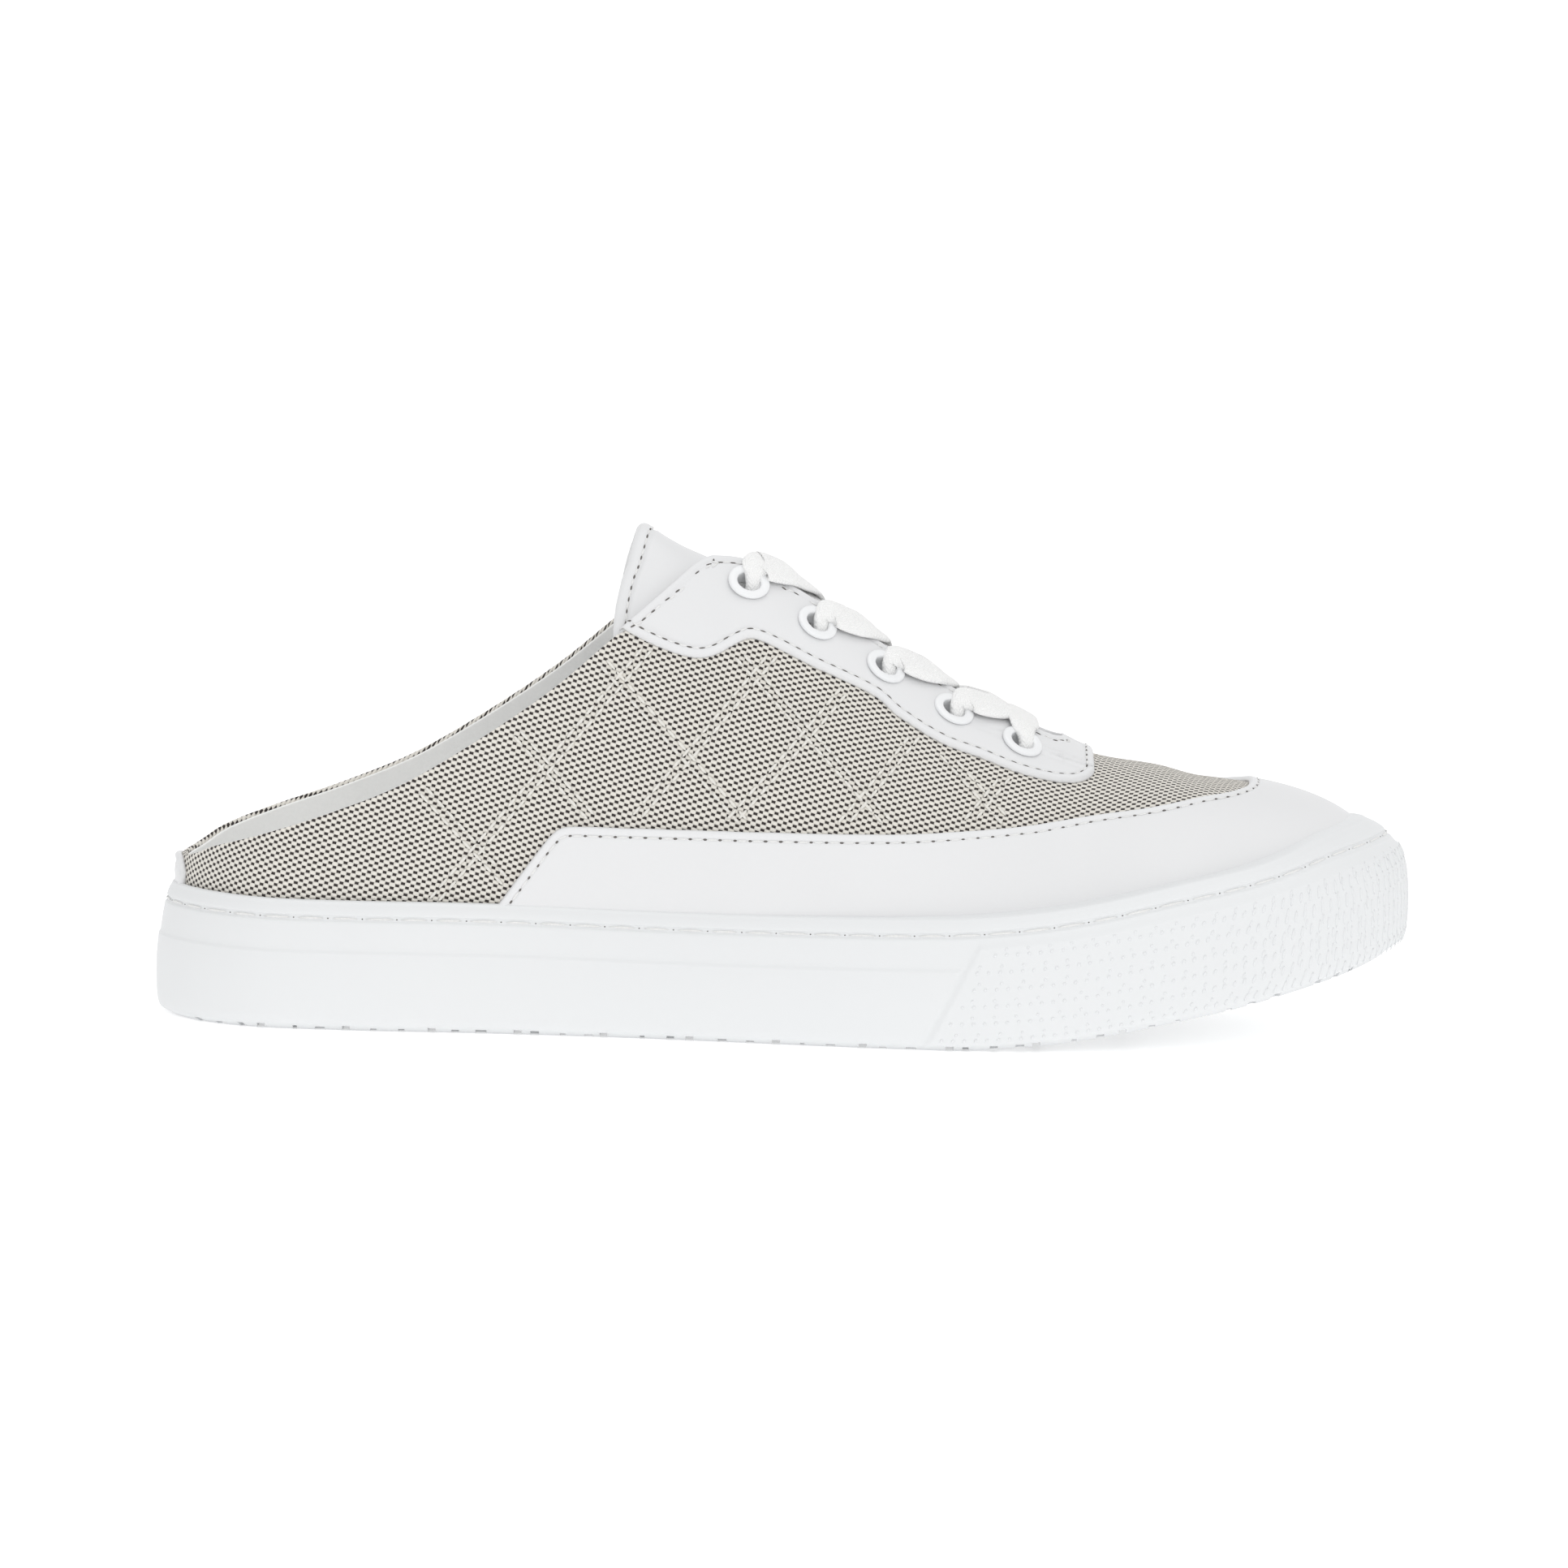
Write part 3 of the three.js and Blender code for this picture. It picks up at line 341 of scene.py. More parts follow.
def mergeDoubles(piece, distance=1e-6):
    mesh = bmesh.new()
    mesh.from_mesh(piece.data)
    bmesh.ops.remove_doubles(mesh, verts=mesh.verts, dist=distance)
    bmesh.ops.dissolve_degenerate(mesh, edges=mesh.edges, dist=distance / 10)
    bmesh.ops.recalc_face_normals(mesh, faces=mesh.faces)
    mesh.to_mesh(piece.data)
    mesh.free()


def gridFaces(rows, columns, start=0, ring=False, tube=False, flip=False):
    i, j = np.meshgrid(np.arange(rows if ring else rows - 1), np.arange(columns if tube else columns - 1),
                       indexing="ij")
    after, beside = (i + 1) % rows, (j + 1) % columns
    here, there = i * columns, after * columns
    quads = np.stack([here + j, there + j, there + beside, here + beside], -1).reshape(-1, 4) + start
    return quads[:, ::-1] if flip else quads


def shellFaces(rows, columns):  # two grids, one over the other, closed round their edge
    top, bottom = gridFaces(rows, columns), gridFaces(rows, columns, rows * columns, flip=True)
    index = np.arange(rows * columns).reshape(rows, columns)
    loop = np.concatenate([index[0, :], index[1:, -1], index[-1, -2::-1], index[-2:0:-1, 0]])
    after = np.roll(loop, -1)
    wall = np.stack([loop, loop + rows * columns, after + rows * columns, after], 1)
    return np.concatenate([top, bottom, wall])


def distanceTo(points, line, step=0.15):
    dense = resample(line, step)
    tree = KDTree(len(dense))
    for k, p in enumerate(dense):
        tree.insert(p, k)
    tree.balance()
    return np.array([tree.find(p)[2] for p in points.reshape(-1, 3)]).reshape(points.shape[:-1])


def resample(line, step):  # rows whose first three numbers are a place, at even steps
    line = np.asarray(line, float)
    run = runAlong(line[:, :3])
    keep = np.concatenate([[True], np.diff(run) > 1e-9])
    line, run = line[keep], run[keep]
    at = np.linspace(0, run[-1], max(int(run[-1] / step), 2))
    return np.stack([np.interp(at, run, line[:, k]) for k in range(line.shape[1])], 1)


def surfaceOf(piece):  # for laying stitches on a piece
    mesh = piece.data
    return BVHTree.FromPolygons([v.co[:] for v in mesh.vertices], [p.vertices[:] for p in mesh.polygons])


# Materials
class Nodes:  # short calls for building a tree of nodes
    def __init__(self, tree):
        self.tree = tree

    def add(self, kind, inputs=None, **settings):
        node = self.tree.nodes.new(kind)
        for name, value in settings.items():
            setattr(node, name, value)
        for socket, value in (inputs or {}).items():
            self.put(node.inputs[socket], value)
        return node

    def put(self, socket, value):
        if isinstance(value, bpy.types.NodeSocket):
            self.tree.links.new(value, socket)
        elif value is not None:
            socket.default_value = value

    def math(self, operation, a, b=None, c=None):
        return self.add("ShaderNodeMath", {0: a, 1: b, 2: c}, operation=operation).outputs[0]

    def spread(self, value, low, high, start=0.0, end=1.0):
        inputs = {"Value": value, "From Min": start, "From Max": end, "To Min": low, "To Max": high}
        return self.add("ShaderNodeMapRange", inputs).outputs["Result"]


class Paint(Nodes):  # the same for a new material
    def __init__(self, name):
        self.material = bpy.data.materials.new(name)
        self.material.use_nodes = True
        super().__init__(self.material.node_tree)
        self.shader = self.tree.nodes["Principled BSDF"]

    def mix(self, share, a, b):
        return self.add("ShaderNodeMix", {0: share, 6: a, 7: b}, data_type="RGBA").outputs[2]

    def noise(self, scale, detail=3.0, roughness=0.5):
        inputs = {"Scale": scale, "Detail": detail, "Roughness": roughness, "Vector": self.place()}
        return self.add("ShaderNodeTexNoise", inputs).outputs["Fac"]

    def place(self):
        return self.add("ShaderNodeTexCoord").outputs["Object"]

    def cloth(self):
        split = self.add("ShaderNodeSeparateXYZ", {
            "Vector": self.add("ShaderNodeUVMap", uv_map="cloth").outputs["UV"]})
        return split.outputs["X"], split.outputs["Y"]

    def bump(self, height, distance, strength=1.0):
        node = self.add("ShaderNodeBump", {"Height": height, "Distance": distance, "Strength": strength})
        self.put(self.shader.inputs["Normal"], node.outputs["Normal"])

    def set(self, **values):
        for name, value in values.items():
            self.put(self.shader.inputs[name.replace("_", " ")], value)
        return self.material


def darker(colour, share):
    return tuple(c * share for c in colour[:3]) + (1,)


def leatherMaterial():
    n, colour = Paint("white_leather"), (0.78, 0.784, 0.792, 1)
    grain = n.add("ShaderNodeTexVoronoi", {"Scale": 900.0, "Vector": n.place()}).outputs["Distance"]
    height = n.math("ADD", n.math("MULTIPLY", grain, 0.5), n.noise(260.0, 4.0))
    n.bump(height, 0.00006, 0.5)
    n.set(Base_Color=n.mix(n.noise(18.0, 2.0), colour, darker(colour, 0.97)))
    return n.set(Roughness=n.spread(n.noise(120.0), 0.42, 0.56))


def rubberMaterial():
    n = Paint("white_rubber")
    n.bump(n.noise(700.0, 2.0), 0.00003, 0.4)
    n.set(Base_Color=n.mix(n.noise(9.0, 2.0), (0.785, 0.794, 0.8, 1), (0.77, 0.784, 0.794, 1)))
    return n.set(Roughness=n.spread(n.noise(60.0), 0.48, 0.6))


# the shade colour is painted shade in the gaps between the yarns, and also gives the cream its random fibre
# tone
weave = {
    "along": 1.165, "across": 0.8, "tilt": 10.7, "wander": 0.35, "roundness": 3.2, "dotEdge": (0.37, 0.42),
    "gapShadeEdge": (0.42, 0.5), "dark": (0.03, 0.023, 0.022, 1), "cream": (0.865, 0.835, 0.77, 1),
    "shade": (0.5, 0.47, 0.43, 1),
}


def canvasMaterial():
    n = Paint("dotted_canvas")
    along, across = n.cloth()
    a = n.math("DIVIDE", along, weave["along"])
    b = n.math("DIVIDE", across, weave["across"])
    wander = n.math("SUBTRACT", n.noise(420.0, 2.0), 0.5)
    a = n.math("ADD", a, n.math("MULTIPLY", wander, weave["wander"]))
    cellA, cellB = n.math("FLOOR", a), n.math("FLOOR", b)
    inA = n.math("ABSOLUTE", n.math("SUBTRACT", n.math("SUBTRACT", a, cellA), 0.5))
    inB = n.math("ABSOLUTE", n.math("SUBTRACT", n.math("SUBTRACT", b, cellB), 0.5))
    parity = n.math("MODULO", n.math("ADD", n.math("ADD", cellA, cellB), 2000.0), 2.0)
    isDark = n.math("GREATER_THAN", parity, 0.5)
    outness = n.math("ADD", n.math("MULTIPLY", inA, inA), n.math("MULTIPLY", inB, inB))
    pillow = n.math("SUBTRACT", 1.0, n.math("MULTIPLY", outness, weave["roundness"]))
    far = n.math("MAXIMUM", inA, inB)
    dot = n.math("MULTIPLY", isDark, n.spread(far, 1.0, 0.0, *weave["dotEdge"]))
    fray = n.noise(1500.0, 3.0)
    # random fibre tone: the fray noise darkens the cream toward the shade colour
    cream = n.mix(n.spread(fray, 0.0, 0.3), weave["cream"], weave["shade"])
    # painted shade: the cream darkens toward the shade colour at the edge of each cell, in the gaps between
    # the yarns
    cream = n.mix(n.spread(far, 0.0, 0.4, *weave["gapShadeEdge"]), cream, weave["shade"])
    n.set(Base_Color=n.mix(dot, cream, weave["dark"]))
    height = n.math("SUBTRACT", pillow, n.math("MULTIPLY", dot, 0.9))
    n.bump(n.math("ADD", height, n.math("MULTIPLY", fray, 0.25)), 0.00022, 0.8)
    return n.set(Roughness=0.9, Sheen_Weight=0.15, Sheen_Roughness=0.5)


def clothMaterial(name, colour, scale=1400.0, depth=0.0001):
    n = Paint(name)
    fine = n.noise(scale, 3.0)
    n.bump(fine, depth, 0.7)
    n.set(Base_Color=n.mix(fine, colour, darker(colour, 0.93)))
    return n.set(Roughness=0.88, Sheen_Weight=0.2, Sheen_Roughness=0.5)


def laceMaterial():
    n = Paint("white_cotton_lace")
    along, across = n.cloth()
    zigzag = n.math("PINGPONG", n.math("MULTIPLY", across, 1.3), 1.0)
    rib = n.math("ADD", n.math("MULTIPLY", along, 1.1), zigzag)
    rib = n.math("SINE", n.math("MULTIPLY", rib, math.pi * 2))
    fuzz = n.noise(1300.0, 4.0, 0.65)
    n.bump(n.math("ADD", n.math("MULTIPLY", rib, 0.35), fuzz), 0.00035, 0.6)
    n.set(Base_Color=n.mix(fuzz, (0.96, 0.96, 0.955, 1), (0.9, 0.9, 0.895, 1)))
    return n.set(Roughness=0.92)


def plasticMaterial():
    n = Paint("white_eyelet_plastic")
    n.bump(n.noise(500.0), 0.00002, 0.3)
    n.set(Base_Color=n.mix(n.noise(40.0), (0.86, 0.87, 0.88, 1), (0.84, 0.85, 0.86, 1)))
    return n.set(Roughness=0.32)


def threadMaterial(name, colour):
    n = Paint(name)
    twist = n.noise(2200.0, 2.0)
    n.bump(twist, 0.00008, 0.6)
    n.set(Base_Color=n.mix(twist, colour, darker(colour, 0.8)))
    return n.set(Roughness=0.8)


leather, rubber, canvas = leatherMaterial(), rubberMaterial(), canvasMaterial()
# the lining is the insole's textile, coloured lighter than the insole to stand in for light inside the shoe,
# where it lies in shade: painted light
lining = clothMaterial("lining_textile_painted_lighter", (0.97, 0.97, 0.955, 1))
footbed = clothMaterial("insole_textile", (0.91, 0.915, 0.915, 1), 900.0, 0.00015)
cotton, plastic = laceMaterial(), plasticMaterial()
thread = threadMaterial("white_thread", (0.88, 0.88, 0.87, 1))
quiltThread = threadMaterial("cream_thread", (0.84, 0.82, 0.77, 1))
# the needle-hole dots: near-black dots of painted shade, standing for the shadow in each needle hole
pinholeShade = threadMaterial("pinhole_shade", (0.16, 0.15, 0.14, 1))
print("materials ready")


# Small repeated bits, stitches, pinholes and pips, laid on points by one node group; the pinholes are dark
# dots of painted shade
def bitGroup():
    group = bpy.data.node_groups.new("bits_on_points", "GeometryNodeTree")
    sockets = {}
    for name, kind in (("Points", "Geometry"), ("Length", "Float"), ("Width", "Float"), ("Height", "Float"),
                       ("Material", "Material"), ("Bits", "Geometry")):
        way = "OUTPUT" if name == "Bits" else "INPUT"
        sockets[name] = group.interface.new_socket(name, in_out=way, socket_type="NodeSocket" + kind)

    n = Nodes(group)

    def vector(name):
        return n.add("GeometryNodeInputNamedAttribute", {"Name": name}, data_type="FLOAT_VECTOR").outputs[0]

    given = n.add("NodeGroupInput").outputs
    ball = n.add("GeometryNodeMeshUVSphere", {"Segments": 8, "Rings": 5, "Radius": 0.5})
    size = n.add("ShaderNodeCombineXYZ", {"X": given["Length"], "Y": given["Width"], "Z": given["Height"]})
    shaped = n.add("GeometryNodeTransform", {"Geometry": ball.outputs["Mesh"], "Scale": size.outputs[0]})
    turn = n.add("FunctionNodeAlignRotationToVector", {"Vector": vector("out")}, axis="Z")
    turn = n.add("FunctionNodeAlignRotationToVector", {
        "Rotation": turn.outputs[0], "Vector": vector("along")}, axis="X", pivot_axis="Z")
    laid = n.add("GeometryNodeInstanceOnPoints", {
        "Points": given["Points"], "Instance": shaped.outputs[0], "Rotation": turn.outputs[0],
        "Scale": vector("stretch")})
    real = n.add("GeometryNodeRealizeInstances", {0: laid.outputs[0]})
    smooth = n.add("GeometryNodeSetShadeSmooth", {0: real.outputs[0]})
    painted = n.add("GeometryNodeSetMaterial", {"Geometry": smooth.outputs[0], "Material": given["Material"]})
    n.add("NodeGroupOutput", {0: painted.outputs[0]})
    return group, {name: socket.identifier for name, socket in sockets.items()}


bitNodes, bitSockets = bitGroup()
chance = np.random.default_rng(7)


def layBits(name, spots, along, out, size, material, stretch=None, loose=0.08):
    mesh = bpy.data.meshes.new(name)
    mesh.from_pydata(((spots + heelBack) * millimetre).tolist(), [], [])
    if stretch is None:
        stretch = np.ones_like(spots)
    stretch = stretch * chance.uniform(1 - loose, 1 + loose, spots.shape)
    for label, values in (("along", along), ("out", out), ("stretch", stretch)):
        attribute = mesh.attributes.new(label, "FLOAT_VECTOR", "POINT")
        attribute.data.foreach_set("vector", np.asarray(values, np.float32).ravel())
    piece = newObject(name, mesh)
    modifier = piece.modifiers.new("bits", "NODES")
    modifier.node_group = bitNodes
    for label, value in zip(("Length", "Width", "Height"), size):
        modifier[bitSockets[label]] = value * millimetre
    modifier[bitSockets["Material"]] = material
    applyModifiers(piece)
    return piece


def applyModifiers(piece):
    graph = bpy.context.evaluated_depsgraph_get()
    graph.update()
    made = bpy.data.meshes.new_from_object(piece.evaluated_get(graph))
    old = piece.data
    piece.modifiers.clear()
    piece.data = made
    bpy.data.meshes.remove(old)
    made.name = piece.name


def layOn(piece, line, out, inset, pitch, clear=0.85):  # places on a piece at an inset from a line
    run = np.gradient(line, axis=0)
    side = unit(np.cross(out, run))
    tree = surfaceOf(piece)
    best = None
    for hand in (-1, 1):
        moved = line + side * inset * hand
        if inset:
            keep = distanceTo(moved, line) > clear * inset
            moved, outKept = moved[keep], out[keep]
        else:
            outKept = out
        both = resample(np.concatenate([moved, outKept], 1), pitch / 2)
        placed = []
        for spot, way in zip(both[:, :3], both[:, 3:]):
            way = Vector(way).normalized()
            start = Vector((spot + heelBack) * millimetre) + way * 0.004
            hit, normal, _, _ = tree.ray_cast(start, -way, 0.008)
            if hit is not None:
                placed.append([*(np.array(hit) / millimetre - heelBack), *normal])
        if best is None or len(placed) > len(best):
            best = placed
        if not inset:
            break
    best = np.array(best)
    return best[:, :3], np.gradient(best[:, :3], axis=0), best[:, 3:]


def layStitches(name, spots, along, out, threadSize, holeShadeSize, material, raised=0.08):
    # threads alternate with dark dots of painted shade that stand for the shadow in each needle hole
    kinds = (("thread", 1, threadSize, material, raised), ("hole_shade", 0, holeShadeSize, pinholeShade, 0))
    for kind, first, size, paint, lift in kinds:
        if size:
            pick = slice(first, None, 2)
            places = spots[pick] + out[pick] * lift
            seams.append(layBits(f"{name}_{kind}", places, along[pick], out[pick], size, paint))


# Camera, light and floor
view = {
    "elevation": 5.5, "roll": 1.0, "distance": 1800, "aim": (147.4, 0, 56.2), "focal": 9390, "frame": 1932,
}
studio = {
    "floor": 0.9, "floorGlow": 0.34, "world": 0.76, "worldSeen": 1.05,
    "lamps": {"front": ((0.3, -1.7, 1.0), 1.4, 6.0), "top": ((0.2, 0.0, 1.7), 1.2, 4.5)},
}


def makeCamera():
    e, r = math.radians(view["elevation"]), math.radians(view["roll"])
    back = Vector((0, -math.cos(e), math.sin(e)))
    right, up = Vector((1, 0, 0)), Vector((0, math.sin(e), math.cos(e)))
    rolledRight = right * math.cos(r) + up * math.sin(r)
    rolledUp = up * math.cos(r) - right * math.sin(r)
    aim = Vector((np.array(view["aim"]) + heelBack) * millimetre)
    data = bpy.data.cameras.new("camera")
    data.sensor_width = 36
    data.lens = view["focal"] * data.sensor_width / view["frame"]
    data.clip_end = 50
    camera = newObject("camera", data)
    camera.matrix_world = Matrix.Translation(aim + back * view["distance"] * millimetre) @ Matrix(
        (rolledRight, rolledUp, back)).transposed().to_4x4()
    bpy.context.scene.camera = camera


def makeFloor():
    n = Paint("pale_floor")
    n.set(Base_Color=(*(studio["floor"],) * 3, 1), Roughness=0.9)
    n.set(Emission_Color=(1, 1, 1, 1), Emission_Strength=studio["floorGlow"])
    mesh = bpy.data.meshes.new("floor")
    corners = [(-4, -4, 0), (4, -4, 0), (4, 4, 0), (-4, 4, 0), (4, 4, 3), (-4, 4, 3)]
    mesh.from_pydata(corners, [], [(0, 1, 2, 3), (3, 2, 4, 5)])
    mesh.materials.append(n.material)
    newObject("floor", mesh)


def makeLight():
    world = bpy.data.worlds.new("studio")
    world.use_nodes = True
    n = Nodes(world.node_tree)
    background = n.tree.nodes["Background"].inputs
    n.put(background["Color"], (1, 1, 1, 1))
    # the studio beyond the floor looks as white as the floor
    seen = n.add("ShaderNodeLightPath").outputs["Is Camera Ray"]
    n.put(background["Strength"], n.spread(seen, studio["world"], studio["worldSeen"]))
    bpy.context.scene.world = world
    for name, (spot, size, power) in studio["lamps"].items():
        lamp = bpy.data.lights.new(name, "AREA")
        lamp.size, lamp.energy = size, power
        holder = newObject(name, lamp)
        holder.location = spot
        holder.rotation_euler = (Vector((0, 0, 0.04)) - Vector(spot)).to_track_quat("-Z", "Y").to_euler()
    bpy.context.scene.view_settings.view_transform = "Standard"


makeCamera()
makeFloor()
makeLight()
print("camera, floor and light ready")


# Ribs for the fine surfaces
def ribRing(bodyX, heelSteps, toeSteps):  # round the heel, along a side, round the toe and back
    quarter = math.pi / 2
    heel = quarter * np.arange(heelSteps) / max(heelSteps, 1)
    toe = 2 * quarter * np.arange(1, toeSteps) / toeSteps
    parts = ((2 * quarter + heel, heelPole), (np.full(len(bodyX), 3 * quarter), bodyX),
             (3 * quarter + toe, toePole), (np.full(len(bodyX), quarter), bodyX[::-1]),
             (quarter + heel[1:], heelPole))
    return makeRibs(np.concatenate([x + 0 * angles for angles, x in parts]),
                    np.concatenate([angles for angles, _ in parts]))


def stations(start, end, step, *fine):  # places along the spine, closer together in fine stretches
    places = set(np.round(np.linspace(start, end, int((end - start) / step) + 1), 4))
    for low, high, closer in fine:
        places |= set(np.round(np.arange(low, high, closer), 4))
    places = np.array(sorted(places))
    return places[np.concatenate([[True], np.diff(places) > 0.04])]


# The rubber cup sole
sole = {
    "channelUp": 0.885, "channelHalf": 0.022, "channelDepth": 0.45, "stepTop": 0.62, "stepProud": 0.35,
    "bumperProud": 0.6, "bumperTop": 0.78, "bumperFoot": 0.612, "bumperHead": 0.665, "bandLow": 0.05,
    "grooves": 11, "grooveStart": 0.09, "groovePitch": 20, "grooveWidth": 1.8, "grooveDepth": 1.2,
    "ease": 0.0022, "toothPitch": 6.3, "toothReach": 2.2, "toothHalf": (0.5, 1.3), "toothHigh": (0.5, 1.1),
    # the hole size is for the dark dot of painted shade at each needle hole
    "leatherOut": 0.75, "thread": (6.6, 0.6, 0.35), "hole": (0.4, 0.3, 0.2), "stitchPitch": 4.0,
}


def bumperStart(up):  # the bumper's slanted rear edge
    return sole["bumperFoot"] + (sole["bumperHead"] - sole["bumperFoot"]) * up


def soleSideOut(ribs, up):  # how far the side wall stands off its plain form
    place, cut = ribs["rimX"][:, None] / length, bumperStart(up)
    ease, channelHalf = sole["ease"], sole["channelHalf"]
    above = smoothStep(sole["bandLow"] - 0.03, sole["bandLow"], up)
    underBumperTop = 1 - smoothStep(sole["bumperTop"] - 0.012, sole["bumperTop"] + 0.06, up)
    underStepTop = 1 - smoothStep(sole["stepTop"] - 0.01, sole["stepTop"] + 0.02, up)
    bumper = sole["bumperProud"] * smoothStep(cut - ease, cut + ease, place) * above * underBumperTop
    quarters = 1 - smoothStep(cut - 3 * ease, cut - ease, place)
    step = sole["stepProud"] * quarters * above * underStepTop
    off = np.abs(up - sole["channelUp"])
    channel = sole["channelDepth"] * (1 - smoothStep(channelHalf - 0.008, channelHalf + 0.008, off))
    return bumper + step - channel


def soleSide(ribs, up):  # places on the side wall, a row of heights for each rib
    foot = treadHeight(ribs["rimX"])[:, None]
    reach = ribs["reach"][:, None] - (soleInset(ribs, up) - soleSideOut(ribs, up)) / ribs["facing"][:, None]
    return ribPoint(ribs, reach, foot + (lipHeight(ribs["rimX"])[:, None] - foot) * up), reach


def soleInset(ribs, up):
    lean = smoothStep(0.86 * length, 0.99 * length, ribs["rimX"])[:, None]
    inset = readTable(cupProfile, "inset", up, "up")
    return cupWall * (inset + (readTable(cupProfile, "toe", up, "up") - inset) * lean)


def makeSole():
    body = stations(heelPole, toePole, 1.4, (176, 200, 0.5))
    ribs = ribRing(body, 44, 110)
    ups = np.unique(np.round(np.concatenate([
        np.linspace(0, 0.06, 7), np.linspace(0.06, 1, 30),
        *(sole["channelUp"] + sole["channelHalf"] * np.linspace(low, low + 0.8, 5) for low in (-1.4, 0.6)),
        sole["bumperTop"] + np.linspace(-0.014, 0.014, 5), sole["stepTop"] + np.linspace(-0.012, 0.012, 5),
        sole["bumperTop"] + np.array([0.03, 0.045]), np.linspace(0.965, 1, 5)]), 4))[None, :]
    side, sideReach = soleSide(ribs, ups)
    shares = np.array([0, 0.15, 0.3, 0.45, 0.6, 0.72, 0.82, 0.9, 0.96])[None, :]
    tread = ribPoint(ribs, sideReach[:, :1] * shares, treadHeight)
    side[:, 0, 2] = treadHeight(side[:, 0, 0])
    lip = lipHeight(ribs["rimX"])[:, None]
    layer = Layer(ribs)
    inside = layer.at(layer.whereRises(layer.points[..., 2] - lip - 0.6)[:, None], sole["leatherOut"])
    lipIn = np.hypot(inside[..., 0] - ribs["x"][:, None], inside[..., 1] - ribs["y"][:, None])
    lipOut = sideReach[:, -1:]
    arc = np.linspace(0, math.pi / 2, 7)[None, 1:]
    crest = np.maximum(lipOut - lipIn, 0.3)
    lip = ribPoint(ribs, lipOut - crest * (1 - np.cos(arc)), lip + np.minimum(0.7, crest) * np.sin(arc))
    depth = np.array([0.25, 0.5, 0.75, 1])[None, :]
    foot = ribs["reach"][:, None] - cupWall / ribs["facing"][:, None]
    floor = cupFloor(ribs["x"][:, None] + ribs["wx"][:, None] * foot)
    innerReach = (lipOut - crest) + (foot - lipOut + crest) * np.sqrt(1 - (1 - depth) ** 2)
    wallIn = ribPoint(ribs, innerReach, lip[:, -1:, 2] + (floor - lip[:, -1:, 2]) * depth)
    bed = ribPoint(ribs, foot * np.array([0.8, 0.5, 0.25, 0])[None, :], cupFloor)
    rows = np.concatenate([tread, side, lip, wallIn, bed], 1)
    piece = makeObject("sole", rows, gridFaces(len(rows), rows.shape[1], ring=True), rubber)
    cutGrooves(piece)
    piece.data.set_sharp_from_angle(angle=math.radians(50))
    return piece


def toothPlaces():  # small notches in the tread's edge, between the grooves
    dense = ribRing(stations(heelPole, toePole, 0.5), 60, 160)
    edge = soleSide(dense, np.array([[0.0]]))[0][:, 0]
    run = runAlong(edge)
    places = []
    for at in np.arange(3, run[-1], sole["toothPitch"]):
        k = np.searchsorted(run, at)
        offGroove = abs((edge[k, 0] - sole["grooveStart"] * length + 10) % 20 - 10)
        if offGroove > 3.2:
            places.append((edge[k], np.array([dense["wx"][k], dense["wy"][k], 0])))
    return places


def cutGrooves(piece):
    boxes = []
    for i in range(sole["grooves"]):
        x, run = sole["grooveStart"] * length + sole["groovePitch"] * i, 1.5
        slope = math.atan2(float(treadHeight(x + run) - treadHeight(x - run)), 2 * run)
        along, up = np.array([[math.cos(slope), 0, math.sin(slope)], [-math.sin(slope), 0, math.cos(slope)]])
        boxes.append((np.array([x, 0, float(treadHeight(x))]), along * sole["grooveWidth"] / 2,
                      np.array([0, ballWidth, 0]), up * -sole["grooveDepth"], up * sole["grooveDepth"]))
    for spot, across in toothPlaces():
        around = np.array([-across[1], across[0], 0])
        half, high = chance.uniform(*sole["toothHalf"]), chance.uniform(*sole["toothHigh"])
        boxes.append((spot, around * half, across * sole["toothReach"], np.array([0, 0, -1]),
                      np.array([0, 0, high])))
    corners = [middle + along * w + across * s + rise for middle, along, across, low, high in boxes
               for rise in (low, high) for w, s in ((-1, -1), (1, -1), (1, 1), (-1, 1))]
    sides = np.array(((3, 2, 1, 0), (4, 5, 6, 7), (0, 1, 5, 4), (1, 2, 6, 5), (2, 3, 7, 6), (3, 0, 4, 7)))
    faces = np.concatenate([sides + 8 * k for k in range(len(boxes))])
    cutAway(piece, makeObject("groove_cutter", np.array(corners), faces, rubber))


def cutAway(piece, cutter):
    modifier = piece.modifiers.new("cut", "BOOLEAN")
    modifier.operation, modifier.solver, modifier.object = "DIFFERENCE", "MANIFOLD", cutter
    applyModifiers(piece)
    bpy.data.objects.remove(cutter)


solePiece = makeSole()
print("sole ready", len(solePiece.data.polygons))
seams = []


def ringAt(height, pitch):  # places round the side wall at a height given by a rule, and their ways
    dense = ribRing(stations(heelPole, toePole, 0.6), 60, 200)
    up = height(dense)[:, None]
    line = soleSide(dense, up)[0][:, 0]
    above = soleSide(dense, up + 0.02)[0][:, 0]
    run = np.gradient(line, axis=0)
    out = unit(np.cross(run, above - line))
    rows = resample(np.concatenate([line, out, above - line], 1), pitch)
    return rows[:, :3], rows[:, 3:6], rows[:, 6:9]


def channelStitches():
    spots, out, _ = ringAt(lambda ribs: np.full(len(ribs["x"]), sole["channelUp"]), sole["stitchPitch"])
    layStitches("sole", spots, np.gradient(spots, axis=0), out, sole["thread"], sole["hole"], thread, 0.05)


